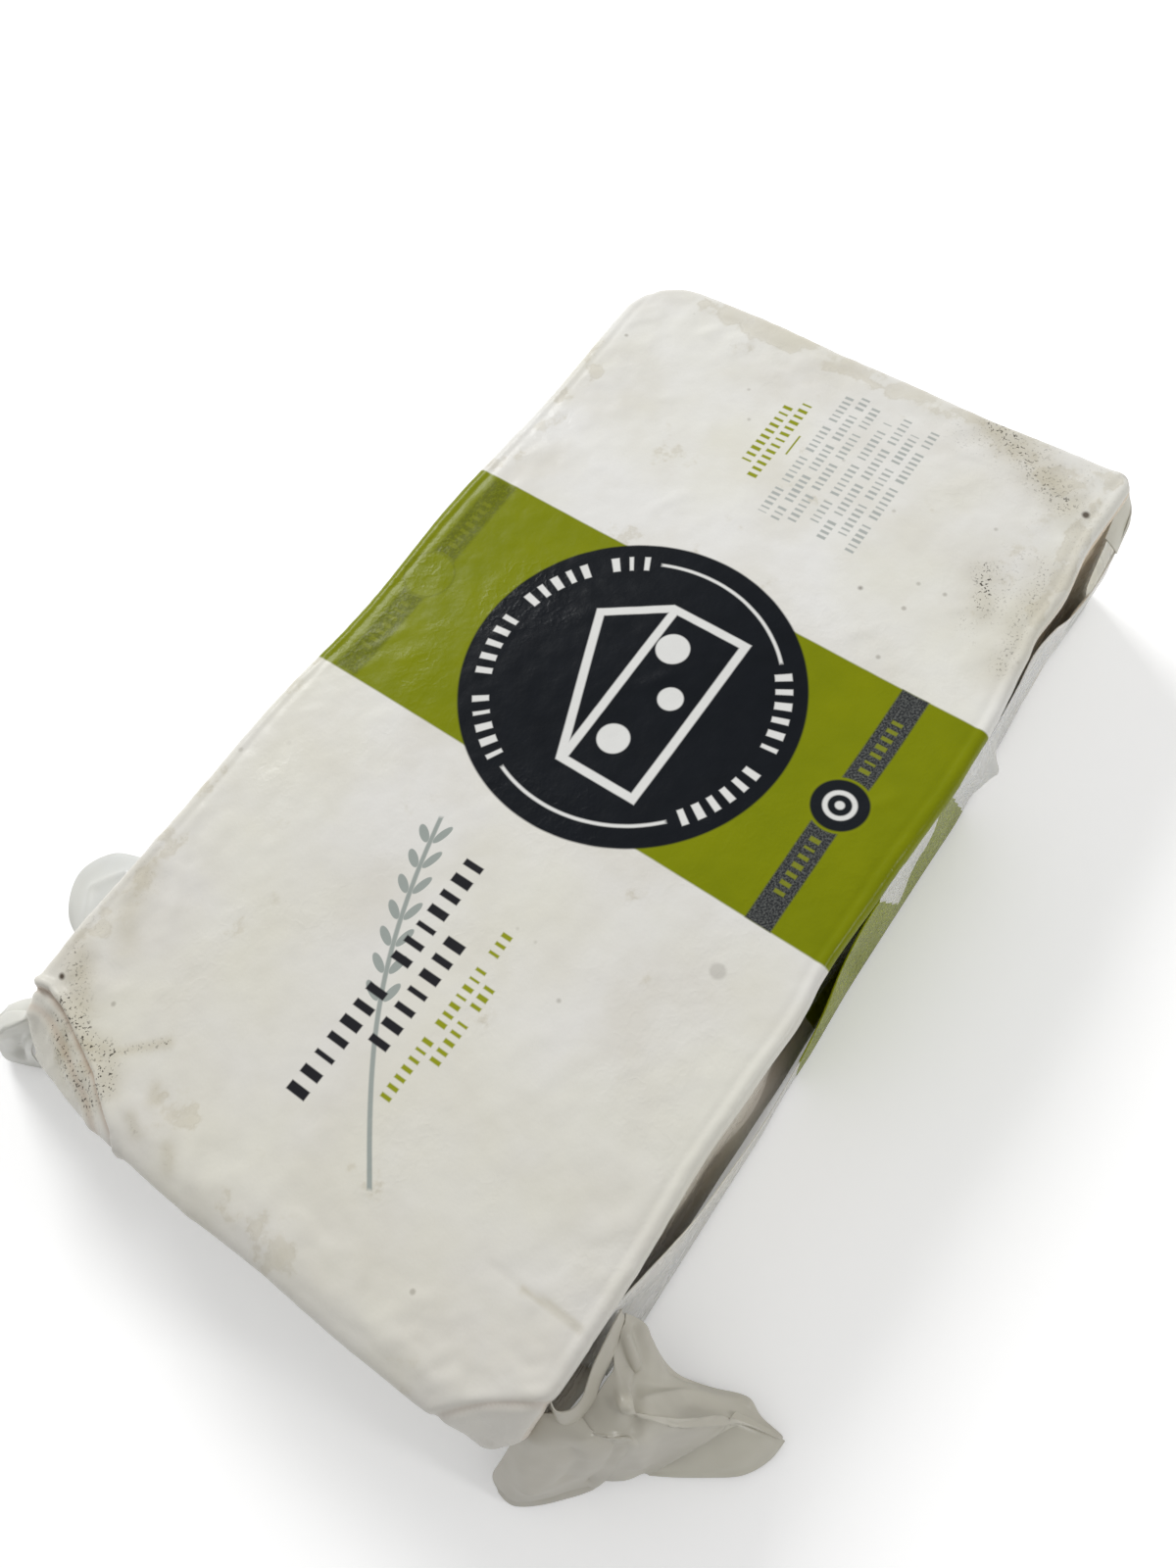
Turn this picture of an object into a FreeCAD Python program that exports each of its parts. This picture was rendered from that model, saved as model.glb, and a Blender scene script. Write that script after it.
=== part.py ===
"""Vacuum-packed cheddar block: one sealed pack of cheese in tight film.

Frame: millimetres, +Z up, origin at the centre of the flat base, +X along the
length.  The front is the -Y side and the near end is the -X end.

The pack is one solid.  It is a block with rounded edges and two pinched
corners, fused with the loose film that is sealed to it: two corner ears, a
small corner loop, the front pleat and the two end seams.
"""
import FreeCAD, Part
import os

Vec = FreeCAD.Vector

# ---- block --------------------------------------------------------------
LENGTH = 360.0
WIDTH = 197.0
HEIGHT = 68.0
TOP_EDGE_RADIUS = 4.0
BASE_EDGE_RADIUS = 3.0
CORNER_RADIUS_BACK_FAR = 22.0
CORNER_RADIUS_FRONT_FAR = 6.0
CORNER_RADIUS_BACK_NEAR = 14.0
CORNER_RADIUS_FRONT_NEAR = 9.0

# ---- pinched corners of the near end: run along X, run along Y, drop ------
BACK_PINCH = (24.0, 60.0, 14.0)
FRONT_PINCH = (27.0, 34.0, 16.0)

# ---- film ------------------------------------------------------------------
FILM = 1.6            # thickness of a doubled, sealed sheet of film
ROOT_SINK = 5.0       # how far a sheet starts inside the block
FLOOR_CLEARANCE = 0.8  # lowest film above the base plane
SHEET_STEPS = 6       # facets along one span of a sheet

# ---- corner ears of the near end ---------------------------------------------
# Reach past the near end, run along the long side, reach out from it and
# how far below the top its root starts.
FRONT_EAR = {"past": 13.0, "along": 51.0, "out": 52.0, "below_top": 12.0}
BACK_EAR = {"past": 9.0, "along": 70.0, "out": 36.0, "below_top": 14.0}

# Each rib of an ear is (along, out, up) at its root, middle and hem, as shares
# of the ear's own sizes and of its root's height.  A negative 'along' is past
# the near end.
FRONT_EAR_RIBS = [
    ((0.22, 0.00, 1.00), (0.02, -0.05, 0.70), (-1.00, -0.03, 0.21)),
    ((0.29, 0.00, 0.98), (0.14, 0.13, 0.54), (-0.55, 0.20, 0.12)),
    ((0.37, 0.00, 0.95), (0.31, 0.28, 0.54), (0.22, 0.42, 0.12)),
    ((0.45, 0.00, 0.92), (0.46, 0.40, 0.56), (0.48, 0.76, 0.07)),
    ((0.53, 0.00, 0.88), (0.70, 0.47, 0.66), (0.90, 1.00, 0.07)),
    ((0.68, 0.00, 0.82), (0.78, 0.26, 0.55), (0.91, 0.58, 0.16)),
    ((0.86, 0.00, 0.70), (0.92, 0.04, 0.64), (1.00, 0.09, 0.50)),
]
BACK_EAR_RIBS = [
    ((0.16, 0.00, 1.00), (0.03, -0.04, 0.76), (-1.00, 0.02, 0.46)),
    ((0.18, 0.00, 0.96), (0.07, 0.18, 0.68), (-0.50, 0.34, 0.36)),
    ((0.22, 0.00, 0.93), (0.18, 0.30, 0.60), (0.14, 0.62, 0.26)),
    ((0.30, 0.00, 0.88), (0.35, 0.40, 0.56), (0.38, 0.78, 0.24)),
    ((0.42, 0.00, 0.84), (0.51, 0.50, 0.60), (0.58, 0.93, 0.42)),
    ((0.55, 0.00, 0.80), (0.66, 0.58, 0.66), (0.75, 1.00, 0.50)),
    ((0.70, 0.00, 0.76), (0.82, 0.46, 0.67), (0.90, 0.78, 0.53)),
    ((0.85, 0.00, 0.72), (0.94, 0.10, 0.70), (1.00, 0.16, 0.66)),
]

# ---- loop of film at the front far corner ---------------------------------
LOOP_ALONG = 34.0
LOOP_OUT = 5.0
LOOP_BELOW_TOP = 10.0
LOOP_TALL = 24.0
LOOP_LEAN = 4.0          # how much lower its near end is than its far end

# ---- front pleat: film that stands off the front wall ---------------------
PLEAT_STAND_OFF = 4.0
PLEAT_FROM_NEAR = 32.0   # where it starts, from the near end
PLEAT_LOW_FROM_NEAR = 98.0
PLEAT_FROM_FAR = 26.0
PLEAT_BELOW_TOP = 6.0    # its free edge at the highest place
PLEAT_DIP = 14.0         # height of its free edge at the lowest place
PLEAT_EDGE = 2.0         # how much lower the film meets the wall than it stands

# ---- end seams --------------------------------------------------------------
SEAM_HEIGHT = 15.0
SEAM_PROUD = 1.8
SEAM_Z = 27.0            # middle of the seam above the base
SEAM_INSET = 16.0        # from each long side


def block():
    """Box with rounded upright corners, then rounded top and base edges."""
    body = Part.makeBox(LENGTH, WIDTH, HEIGHT, Vec(-LENGTH / 2, -WIDTH / 2, 0))
    corners = {
        (1, 1): CORNER_RADIUS_BACK_FAR,
        (1, -1): CORNER_RADIUS_FRONT_FAR,
        (-1, 1): CORNER_RADIUS_BACK_NEAR,
        (-1, -1): CORNER_RADIUS_FRONT_NEAR,
    }
    for (side_x, side_y), radius in corners.items():
        body = body.makeFillet(radius, [upright_edge(body, side_x, side_y)])
    for level, radius in ((HEIGHT, TOP_EDGE_RADIUS), (0.0, BASE_EDGE_RADIUS)):
        body = body.makeFillet(radius, edges_at_level(body, level))
    return body


def upright_edge(body, side_x, side_y):
    """The straight upright edge at the corner with the given signs."""
    corner = Vec(side_x * LENGTH / 2, side_y * WIDTH / 2, HEIGHT / 2)
    return min(body.Edges, key=lambda edge: (edge.CenterOfMass - corner).Length)


def edges_at_level(body, level):
    """All edges that lie flat at one height."""
    found = []
    for edge in body.Edges:
        box = edge.BoundBox
        if abs(box.ZMin - level) < 1e-6 and abs(box.ZMax - level) < 1e-6:
            found.append(edge)
    return found


def pinch_tool(side_y, pinch):
    """Wedge over a near corner, whose slanted face cuts the corner's facet."""
    run_x, run_y, drop = pinch
    corner = Vec(-LENGTH / 2, side_y * WIDTH / 2, 0)
    top = Vec(0, 0, HEIGHT)
    a = corner + top + Vec(run_x, 0, 0)
    b = corner + top + Vec(0, -side_y * run_y, 0)
    low = corner + Vec(0, 0, HEIGHT - drop)
    spread = 3.0
    far_a = low + (a - low) * spread
    far_b = low + (b - low) * spread
    behind = low - ((a - low) + (b - low)) * spread
    face = Part.Face(Part.makePolygon([far_a, far_b, behind, far_a]))
    return face.extrude(Vec(0, 0, HEIGHT))


def triangle(a, b, c):
    """Flat triangular face."""
    return Part.Face(Part.makePolygon([a, b, c, a]))


def sheet(grid):
    """Closed solid of film thickness around a grid of points."""
    rows = len(grid)
    columns = len(grid[0])
    upper = []
    lower = []
    for i in range(rows):
        upper.append([])
        lower.append([])
        for j in range(columns):
            along = grid[min(i + 1, rows - 1)][j] - grid[max(i - 1, 0)][j]
            across = grid[i][min(j + 1, columns - 1)] - grid[i][max(j - 1, 0)]
            normal = along.cross(across).normalize() * (FILM / 2)
            upper[i].append(grid[i][j] + normal)
            lower[i].append(grid[i][j] - normal)
    faces = []
    for i in range(rows - 1):
        for j in range(columns - 1):
            for side in (upper, lower):
                faces.append(triangle(side[i][j], side[i + 1][j], side[i + 1][j + 1]))
                faces.append(triangle(side[i][j], side[i + 1][j + 1], side[i][j + 1]))
    rim = [(i, 0) for i in range(rows)]
    rim += [(rows - 1, j) for j in range(1, columns)]
    rim += [(i, columns - 1) for i in range(rows - 2, -1, -1)]
    rim += [(0, j) for j in range(columns - 2, 0, -1)]
    for (i, j), (k, m) in zip(rim, rim[1:] + rim[:1]):
        faces.append(triangle(upper[i][j], upper[k][m], lower[k][m]))
        faces.append(triangle(upper[i][j], lower[k][m], lower[i][j]))
    solid = Part.Solid(Part.Shell(faces))
    if solid.Volume < 0:
        solid.reverse()
    return solid


def rib(points):
    """Points along one smooth curve through the given ones."""
    curve = Part.BSplineCurve()
    curve.interpolate(points)
    first = curve.FirstParameter
    span = curve.LastParameter - first
    count = SHEET_STEPS
    return [curve.value(first + span * k / count) for k in range(count + 1)]


def above_floor(point):
    """The point, kept over the base plane with room for half the film."""
    return Vec(point.x, point.y, max(point.z, FLOOR_CLEARANCE + FILM))


def corner_ear(side_y, sizes, ribs):
    """Fan of curved ribs from a near corner out to the ear's hem."""
    curves = []
    for stations in ribs:
        points = []
        for along, out, up in stations:
            run = sizes["along"] if along > 0 else sizes["past"]
            x = -LENGTH / 2 + along * run
            y = side_y * (WIDTH / 2 + out * sizes["out"])
            points.append(Vec(x, y, up * (HEIGHT - sizes["below_top"])))
        root = points[0] - Vec(0, side_y * ROOT_SINK, 0)
        curves.append([above_floor(point) for point in rib([root] + points[1:])])
    return sheet(curves)


def far_loop():
    """Low three-sided fold of film on the front wall by the far corner."""
    wall = -WIDTH / 2
    far = LENGTH / 2 - CORNER_RADIUS_FRONT_FAR
    inner = wall + ROOT_SINK
    top = HEIGHT - LOOP_BELOW_TOP
    peak = Vec(far - 0.3 * LOOP_ALONG, wall - LOOP_OUT, top - LOOP_TALL / 2)
    ring = [
        Vec(far, inner, top),
        Vec(far - LOOP_ALONG, inner, top - LOOP_LEAN),
        Vec(far - 0.4 * LOOP_ALONG, inner, top - LOOP_TALL),
    ]
    faces = [triangle(*ring)]
    for a, b in zip(ring, ring[1:] + ring[:1]):
        faces.append(triangle(a, b, peak))
    solid = Part.Solid(Part.Shell(faces))
    if solid.Volume < 0:
        solid.reverse()
    return solid


def front_pleat():
    """Film that stands off the front wall below a free edge.

    The free edge runs down from the near end to its lowest place, and back up
    towards the far end.  The film under it leans out to the base.
    """
    wall = -WIDTH / 2
    near = -LENGTH / 2 + PLEAT_FROM_NEAR
    low = -LENGTH / 2 + PLEAT_LOW_FROM_NEAR
    far = LENGTH / 2 - PLEAT_FROM_FAR
    middle = low + 0.38 * (far - low)
    top = HEIGHT - PLEAT_BELOW_TOP
    half = (top + PLEAT_DIP) / 2
    # Each station is its place, its share of the stand-off and its height.
    stations = [
        (near, 0.15, top - 10.0),
        (near + 0.45 * (low - near), 0.55, half),
        (low, 0.75, PLEAT_DIP),
        ((low + middle) / 2, 0.85, half),
        (middle, 0.60, top),
        ((middle + far) / 2, 1.00, top - 8.0),
        (far, 0.20, top - 14.0),
    ]
    wires = []
    for x, share, free_z in stations:
        corners = [
            Vec(x, wall + ROOT_SINK, free_z - PLEAT_EDGE),
            Vec(x, wall - share * PLEAT_STAND_OFF, free_z),
            Vec(x, wall - PLEAT_STAND_OFF * (0.4 + 0.6 * share), BASE_EDGE_RADIUS),
            Vec(x, wall + ROOT_SINK, BASE_EDGE_RADIUS),
        ]
        wires.append(Part.makePolygon(corners + corners[:1]))
    return Part.makeLoft(wires, True, True)


def end_seam(side_x):
    """Sealed strip of film folded flat against one end wall."""
    width = WIDTH - 2 * SEAM_INSET
    depth = SEAM_PROUD + ROOT_SINK
    x = side_x * (LENGTH / 2 + SEAM_PROUD)
    start = x - depth if side_x > 0 else x
    low = SEAM_Z - SEAM_HEIGHT / 2
    return Part.makeBox(depth, width, SEAM_HEIGHT, Vec(start, -width / 2, low))


def cheddar_pack():
    """The whole sealed pack as one solid."""
    body = block()
    body = body.cut(pinch_tool(1, BACK_PINCH))
    body = body.cut(pinch_tool(-1, FRONT_PINCH))
    film = [
        front_pleat(),
        end_seam(-1),
        end_seam(1),
        far_loop(),
        corner_ear(-1, FRONT_EAR, FRONT_EAR_RIBS),
        corner_ear(1, BACK_EAR, BACK_EAR_RIBS),
    ]
    for piece in film:
        body = body.fuse(piece)
    return body.removeSplitter()


os.makedirs("parts", exist_ok=True)
for name, shape in {"cheddar_pack": cheddar_pack()}.items():
    box = shape.BoundBox
    print(name, "solids", len(shape.Solids), "valid", shape.isValid(),
          "volume cm3", round(shape.Volume / 1000, 1))
    print("box", [round(v, 1) for v in (box.XMin, box.YMin, box.ZMin, box.XMax, box.YMax, box.ZMax)])
    shape.exportStep("parts/" + name + ".step")
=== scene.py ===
"""Looks of a vacuum-packed cheddar block.

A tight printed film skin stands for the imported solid.  Loose film rides with
it: an ear at each near corner, the pleat along the front, the loop at the far
corner and a folded seam at each end.

Lengths are metres in the part's frame: +X along the block, -Y to the front,
+Z up, with the base at Z = 0.  Sizes named in millimetres say so.
"""
import logging
import math
from dataclasses import dataclass, field
from enum import Enum

import bpy
import numpy as np
from mathutils import Matrix


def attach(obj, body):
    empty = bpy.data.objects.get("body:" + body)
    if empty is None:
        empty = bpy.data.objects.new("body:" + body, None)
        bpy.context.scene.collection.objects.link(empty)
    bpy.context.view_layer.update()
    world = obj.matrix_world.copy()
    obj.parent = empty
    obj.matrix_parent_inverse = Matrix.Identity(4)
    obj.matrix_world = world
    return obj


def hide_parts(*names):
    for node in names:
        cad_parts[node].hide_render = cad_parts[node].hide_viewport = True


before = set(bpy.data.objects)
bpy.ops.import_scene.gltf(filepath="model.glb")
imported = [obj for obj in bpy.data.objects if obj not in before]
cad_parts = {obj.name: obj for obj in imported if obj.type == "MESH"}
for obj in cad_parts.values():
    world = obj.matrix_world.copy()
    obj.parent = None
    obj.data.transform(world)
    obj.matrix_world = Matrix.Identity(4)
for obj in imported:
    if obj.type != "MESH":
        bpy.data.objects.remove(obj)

LOG = logging.getLogger("cheddar_pack")
MM = 0.001
# Thickness of the loose film.
FILM_WALL = 0.45 * MM
# Y on the flat film past which it lies in the gutter behind the pleat.
GUTTER_SIDE = -98.2 * MM
NODE = "cheddar_pack"
BODY = "root"
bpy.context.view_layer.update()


# ---------------------------------------------------------------- numbers

def smooth(low: float, high: float, value: np.ndarray) -> np.ndarray:
    """Smooth step: 3 t^2 - 2 t^3, with t the share of the way from low to high."""
    share = np.clip((value - low) / (high - low), 0.0, 1.0)
    return share * share * (3.0 - 2.0 * share)


def bell(value: np.ndarray, width: float) -> np.ndarray:
    """Bell curve exp(-(value / width)^2)."""
    return np.exp(-((value / width) ** 2))


def through(stations: np.ndarray, place: np.ndarray) -> np.ndarray:
    """Smooth curve through evenly numbered stations (Catmull-Rom).

    Between stations b and c, with a before and d after, the curve is
    b + t (c - a) / 2 + t^2 (a - 5 b / 2 + 2 c - d / 2) + t^3 (3 b - a - 3 c + d) / 2.

    Args:
        stations: Values, one row for each station.
        place: Positions counted in stations, from 0 to the last station.

    Returns:
        One row of values for each position.
    """
    last = len(stations) - 1
    start = np.clip(np.floor(place).astype(int), 0, last - 1)
    t = (place - start).reshape((-1,) + (1,) * (stations.ndim - 1))
    a = stations[np.maximum(start - 1, 0)]
    b = stations[start]
    c = stations[start + 1]
    d = stations[np.minimum(start + 2, last)]
    square = a - 2.5 * b + 2.0 * c - 0.5 * d
    cube = 0.5 * (3.0 * b - a - 3.0 * c + d)
    return b + 0.5 * t * (c - a) + t * t * square + t ** 3 * cube


def along(knots: list[tuple[float, float]], value: np.ndarray) -> np.ndarray:
    """Smooth height over uneven knots: a smooth step from each knot to the next.

    Args:
        knots: Pairs of place and height, in order of place.
        value: Places to read.

    Returns:
        The height at each place.
    """
    places = np.array([knot[0] for knot in knots])
    heights = np.array([knot[1] for knot in knots])
    index = np.clip(np.searchsorted(places, value) - 1, 0, len(places) - 2)
    share = smooth(0.0, 1.0, (value - places[index]) / (places[index + 1] - places[index]))
    return heights[index] + share * (heights[index + 1] - heights[index])


@dataclass(frozen=True)
class Ripples:
    """Uneven waves that run about one heading.

    Attributes:
        heading: Direction across the crests, in degrees from +X.
        wavelength: Mean distance between crests.
        spread: Scatter of the heading, in degrees.
        count: Number of waves added up.
        seed: Start of the random numbers.
    """

    heading: float
    wavelength: float
    spread: float
    count: int
    seed: int

    def at(self, x: np.ndarray, y: np.ndarray) -> np.ndarray:
        """Sum of cos(k . p + phase) over the waves, scaled to about -1 to 1.

        Args:
            x: First coordinate of each point.
            y: Second coordinate of each point.

        Returns:
            The height of the waves at each point.
        """
        rng = np.random.default_rng(self.seed)
        angle = np.radians(self.heading + self.spread * rng.normal(size=self.count))
        number = 2.0 * np.pi / (self.wavelength * rng.uniform(0.65, 1.6, self.count))
        phase = rng.uniform(0.0, 2.0 * np.pi, self.count)
        total = np.zeros_like(x)
        for turn, wave, start in zip(angle, number, phase):
            total += np.cos(wave * (x * math.cos(turn) + y * math.sin(turn)) + start)
        return total / math.sqrt(self.count)

    def creases(self, x: np.ndarray, y: np.ndarray, width: float) -> np.ndarray:
        """Thin ridges, 0 to 1, along the lines where the waves pass through zero."""
        return bell(self.at(x, y), width)


def near_path(points: np.ndarray, path: np.ndarray) -> np.ndarray:
    """Distance from each point to a path of straight runs.

    Args:
        points: Points, one a row.
        path: The path's corners, one a row.

    Returns:
        The distance of each point from the nearest place on the path.
    """
    best = np.full(len(points), np.inf)
    for start, end in zip(path[:-1], path[1:]):
        run = end - start
        share = np.clip((points - start) @ run / (run @ run), 0.0, 1.0)
        gap = np.linalg.norm(points - start - share[:, None] * run, axis=1)
        best = np.minimum(best, gap)
    return best


# ---------------------------------------------------------------- meshes

@dataclass
class Surface:
    """Points and four-sided faces of one surface.

    Attributes:
        points: Places of the vertices, one a row.
        quads: Vertex numbers of the faces, one face a row, seen from outside.
        film: Place of each vertex on the flat film before it was drawn tight.
        crease_shade_and_dirt: At each vertex, if any: painted shade along a crease, dark specks of dirt and
            beige bloom.
    """

    points: np.ndarray
    quads: np.ndarray
    film: np.ndarray
    crease_shade_and_dirt: np.ndarray | None = None

    def normals(self) -> np.ndarray:
        """Unit normal of each vertex: the faces' cross products, added up.

        Returns:
            The normals, one a row.
        """
        corner = self.points[self.quads]
        cross = np.cross(corner[:, 2] - corner[:, 0], corner[:, 3] - corner[:, 1])
        total = np.zeros_like(self.points)
        for k in range(4):
            np.add.at(total, self.quads[:, k], cross)
        length = np.linalg.norm(total, axis=1, keepdims=True)
        return total / np.maximum(length, 1e-12)

    def lift(self, height: np.ndarray) -> None:
        """Moves each vertex along its normal by its own height."""
        self.points = self.points + self.normals() * height[:, None]

    def to_object(self, name: str, material: bpy.types.Material) -> bpy.types.Object:
        """Makes a smooth-shaded Blender object that rides on the part.

        Args:
            name: Name of the piece.
            material: Its finish.

        Returns:
            The object, at the origin, with its place in its mesh.
        """
        mesh = bpy.data.meshes.new(name)
        mesh.from_pydata(self.points.tolist(), [], self.quads.tolist())
        place = mesh.attributes.new("film_place", "FLOAT_VECTOR", "POINT")
        place.data.foreach_set("vector", self.film.astype(np.float32).ravel())
        if self.crease_shade_and_dirt is not None:
            dirt = mesh.attributes.new("crease_shade_and_dirt", "FLOAT_VECTOR", "POINT")
            dirt.data.foreach_set("vector", self.crease_shade_and_dirt.astype(np.float32).ravel())
        mesh.shade_smooth()
        mesh.materials.append(material)
        piece = bpy.data.objects.new(name, mesh)
        bpy.context.scene.collection.objects.link(piece)
        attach(piece, BODY)
        return piece


def grid_quads(rows: int, columns: int) -> np.ndarray:
    """Faces of a grid whose vertices are numbered row by row.

    Args:
        rows: Number of rows of vertices.
        columns: Number of vertices in a row.

    Returns:
        The vertex numbers of each face, one face a row.
    """
    index = np.arange(rows * columns).reshape(rows, columns)
    corners = (index[:-1, :-1], index[1:, :-1], index[1:, 1:], index[:-1, 1:])
    return np.stack(corners, axis=-1).reshape(-1, 4)


def film_sheet(surface: Surface, name: str, material: bpy.types.Material) -> bpy.types.Object:
    """Turns an open surface into a piece of film with a wall.

    Args:
        surface: The middle of the film.
        name: Name of the piece.
        material: Its finish.

    Returns:
        The piece, with a live Solidify modifier.
    """
    piece = surface.to_object(name, material)
    wall = piece.modifiers.new("wall", "SOLIDIFY")
    wall.thickness = FILM_WALL
    wall.offset = 0.0
    return piece


# ---------------------------------------------------------------- the block

@dataclass(frozen=True)
class BlockForm:
    """Sizes of the cheese under the film.

    Attributes:
        length: Along X.
        width: Along Y.
        height: Along Z.
        edge: Radius of the long edges.
        corner: Radius of each upright corner, by the signs of X and Y.
    """

    length: float = 360.0 * MM
    width: float = 197.0 * MM
    height: float = 68.0 * MM
    edge: float = 3.6 * MM
    corner: dict = field(default_factory=lambda: {
        (1, 1): 22.0 * MM,
        (1, -1): 6.5 * MM,
        (-1, 1): 15.0 * MM,
        (-1, -1): 9.0 * MM,
    })

    @property
    def half(self) -> np.ndarray:
        """Half the length and half the width."""
        return np.array([self.length, self.width]) / 2.0


@dataclass
class FilmSkin:
    """The film drawn tight over the block, as one closed surface.

    Attributes:
        form: Sizes of the block.
        columns: Faces along the length.
        rows: Faces across the width.
        levels: Faces up the walls.
        grading: How much finer the faces are near the edges, 0 to 1.
        arc_levels: Levels that round each long edge.
    """

    form: BlockForm
    columns: int = 252
    rows: int = 136
    levels: int = 36
    grading: float = 0.76
    arc_levels: int = 7

    def lattice(self) -> tuple[np.ndarray, np.ndarray]:
        """Numbers the outside of a block of cells.

        Returns:
            The (column, row, level) of each vertex, and the outward faces.
        """
        shape = (self.columns + 1, self.rows + 1, self.levels + 1)
        place = np.indices(shape)
        last = np.array(shape).reshape(3, 1, 1, 1) - 1
        outside = ((place == 0) | (place == last)).any(axis=0)
        index = np.full(shape, -1)
        index[outside] = np.arange(outside.sum())
        sides = [
            index[:, :, -1], index[:, :, 0].T,
            index[-1], index[0].T,
            index[:, -1].T, index[:, 0],
        ]
        quads = [
            np.stack((s[:-1, :-1], s[1:, :-1], s[1:, 1:], s[:-1, 1:]), -1).reshape(-1, 4)
            for s in sides
        ]
        return place[:, outside].T, np.concatenate(quads)

    def graded(self, steps: np.ndarray, count: int) -> np.ndarray:
        """Spacing from -1 to 1 that is finer at both ends: sin(g t) / sin(g)."""
        reach = self.grading * math.pi / 2.0
        return np.sin(reach * (2.0 * steps / count - 1.0)) / math.sin(reach)

    def profile(self, level: np.ndarray) -> tuple[np.ndarray, np.ndarray]:
        """Wall profile: a quarter arc, a straight wall and a quarter arc.

        Args:
            level: Level of each vertex, from 0 at the base.

        Returns:
            How far each vertex is out from the flat top, and its height.
        """
        edge, height = self.form.edge, self.form.height
        share = np.minimum(level, self.levels - level) / self.arc_levels
        turn = np.minimum(share, 1.0) * math.pi / 2.0
        out = edge * np.sin(turn)
        rise = edge * (1.0 - np.cos(turn))
        wall = (level - self.arc_levels) / (self.levels - 2 * self.arc_levels)
        straight = edge + np.clip(wall, 0.0, 1.0) * (height - 2.0 * edge)
        z = np.where(share >= 1.0, straight, np.where(level * 2 > self.levels, height - rise, rise))
        return out, z

    def base_surface(self) -> Surface:
        """The block with rounded edges and corners, before any wrinkle.

        A corner of radius r is the map (u sqrt(1 - v^2 / 2), v sqrt(1 - u^2 / 2))
        of its square on to a quarter disc.

        Returns:
            The closed surface.
        """
        cells, quads = self.lattice()
        column, row, level = cells.T
        inner = self.form.half - self.form.edge
        flat = np.stack((self.graded(column, self.columns), self.graded(row, self.rows)), 1) * inner
        side_x = np.where(column == self.columns, 1.0, np.where(column == 0, -1.0, 0.0))
        side_y = np.where(row == self.rows, 1.0, np.where(row == 0, -1.0, 0.0))
        outward = np.stack((side_x, side_y), 1)
        for (sign_x, sign_y), radius in self.form.corner.items():
            sign = np.array([sign_x, sign_y])
            bend = radius - self.form.edge
            share = (flat * sign - (inner - bend)) / bend
            inside = (share > 0.0).all(axis=1)
            u, v = share[inside].T
            disc = np.stack((u * np.sqrt(1.0 - v * v / 2.0), v * np.sqrt(1.0 - u * u / 2.0)), 1)
            flat[inside] = (disc * bend + (inner - bend)) * sign
            wall = np.abs(outward[inside]).sum(axis=1) > 0.0
            numbers = np.flatnonzero(inside)[wall]
            outward[numbers] = disc[wall] * sign
        out, z = self.profile(level)
        spread = flat + outward * out[:, None]
        points = np.column_stack((spread, z))
        return Surface(points, quads, points.copy())

    def build(self, material: bpy.types.Material) -> bpy.types.Object:
        """Makes the skin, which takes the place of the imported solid.

        Args:
            material: Finish of the film.

        Returns:
            The piece.
        """
        surface = self.base_surface()
        SkinShaping(self.form).apply(surface)
        piece = surface.to_object("film_skin", material)
        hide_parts(NODE)
        return piece


@dataclass(frozen=True)
class Trail:
    """Dirt along a path on the top, in mm.

    Attributes:
        path: The path's corners.
        width: Half the width of the specks.
        specks: How dense they are, 0 to 1.
        reach: Half the width of the beige bloom.
        bloom: How strong it is, 0 to 1.
    """

    path: tuple
    width: float
    specks: float
    reach: float
    bloom: float


TRAILS = (
    Trail(((-159, 84), (-161, 73), (-162, 68), (-161, 61), (-164, 58), (-168, 55)), 2.6, 1.0, 5.0, 0.8),
    Trail(((-161, 61), (-151, 51), (-148, 48)), 0.9, 0.42, 1.8, 0.9),
    Trail(((-167, 84), (-168, 80), (-172, 73), (-171, 67), (-174, 58)), 3.0, 0.8, 5.0, 0.7),
    Trail(((-145, 92), (-152, 84), (-157, 78)), 3.5, 0.30, 7.0, 1.0),
    Trail(((-112, 92), (-124, 88), (-134, 80)), 2.0, 0.0, 5.0, 0.7),
    Trail(((176, -45), (175, -50), (171, -57)), 2.6, 1.0, 8.0, 1.0),
    Trail(((172, -57), (163, -70), (158, -82)), 5.0, 0.38, 9.0, 0.75),
    Trail(((120, -70), (115, -74), (108, -77)), 2.4, 0.85, 8.0, 0.6),
    Trail(((132, -88), (100, -92), (90, -92)), 3.0, 0.25, 7.0, 0.5),
    Trail(((-160, 42), (-163, 40)), 1.0, 0.1, 2.2, 0.7),
    Trail(((-170, 42), (-172, 38)), 1.0, 0.1, 2.2, 0.7),
    Trail(((-170, 27), (-173, 24)), 1.0, 0.1, 2.4, 0.7),
    Trail(((-141, -94), (-141, -84), (-142, -76)), 0.7, 0.0, 0.9, 0.8),
)


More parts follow.
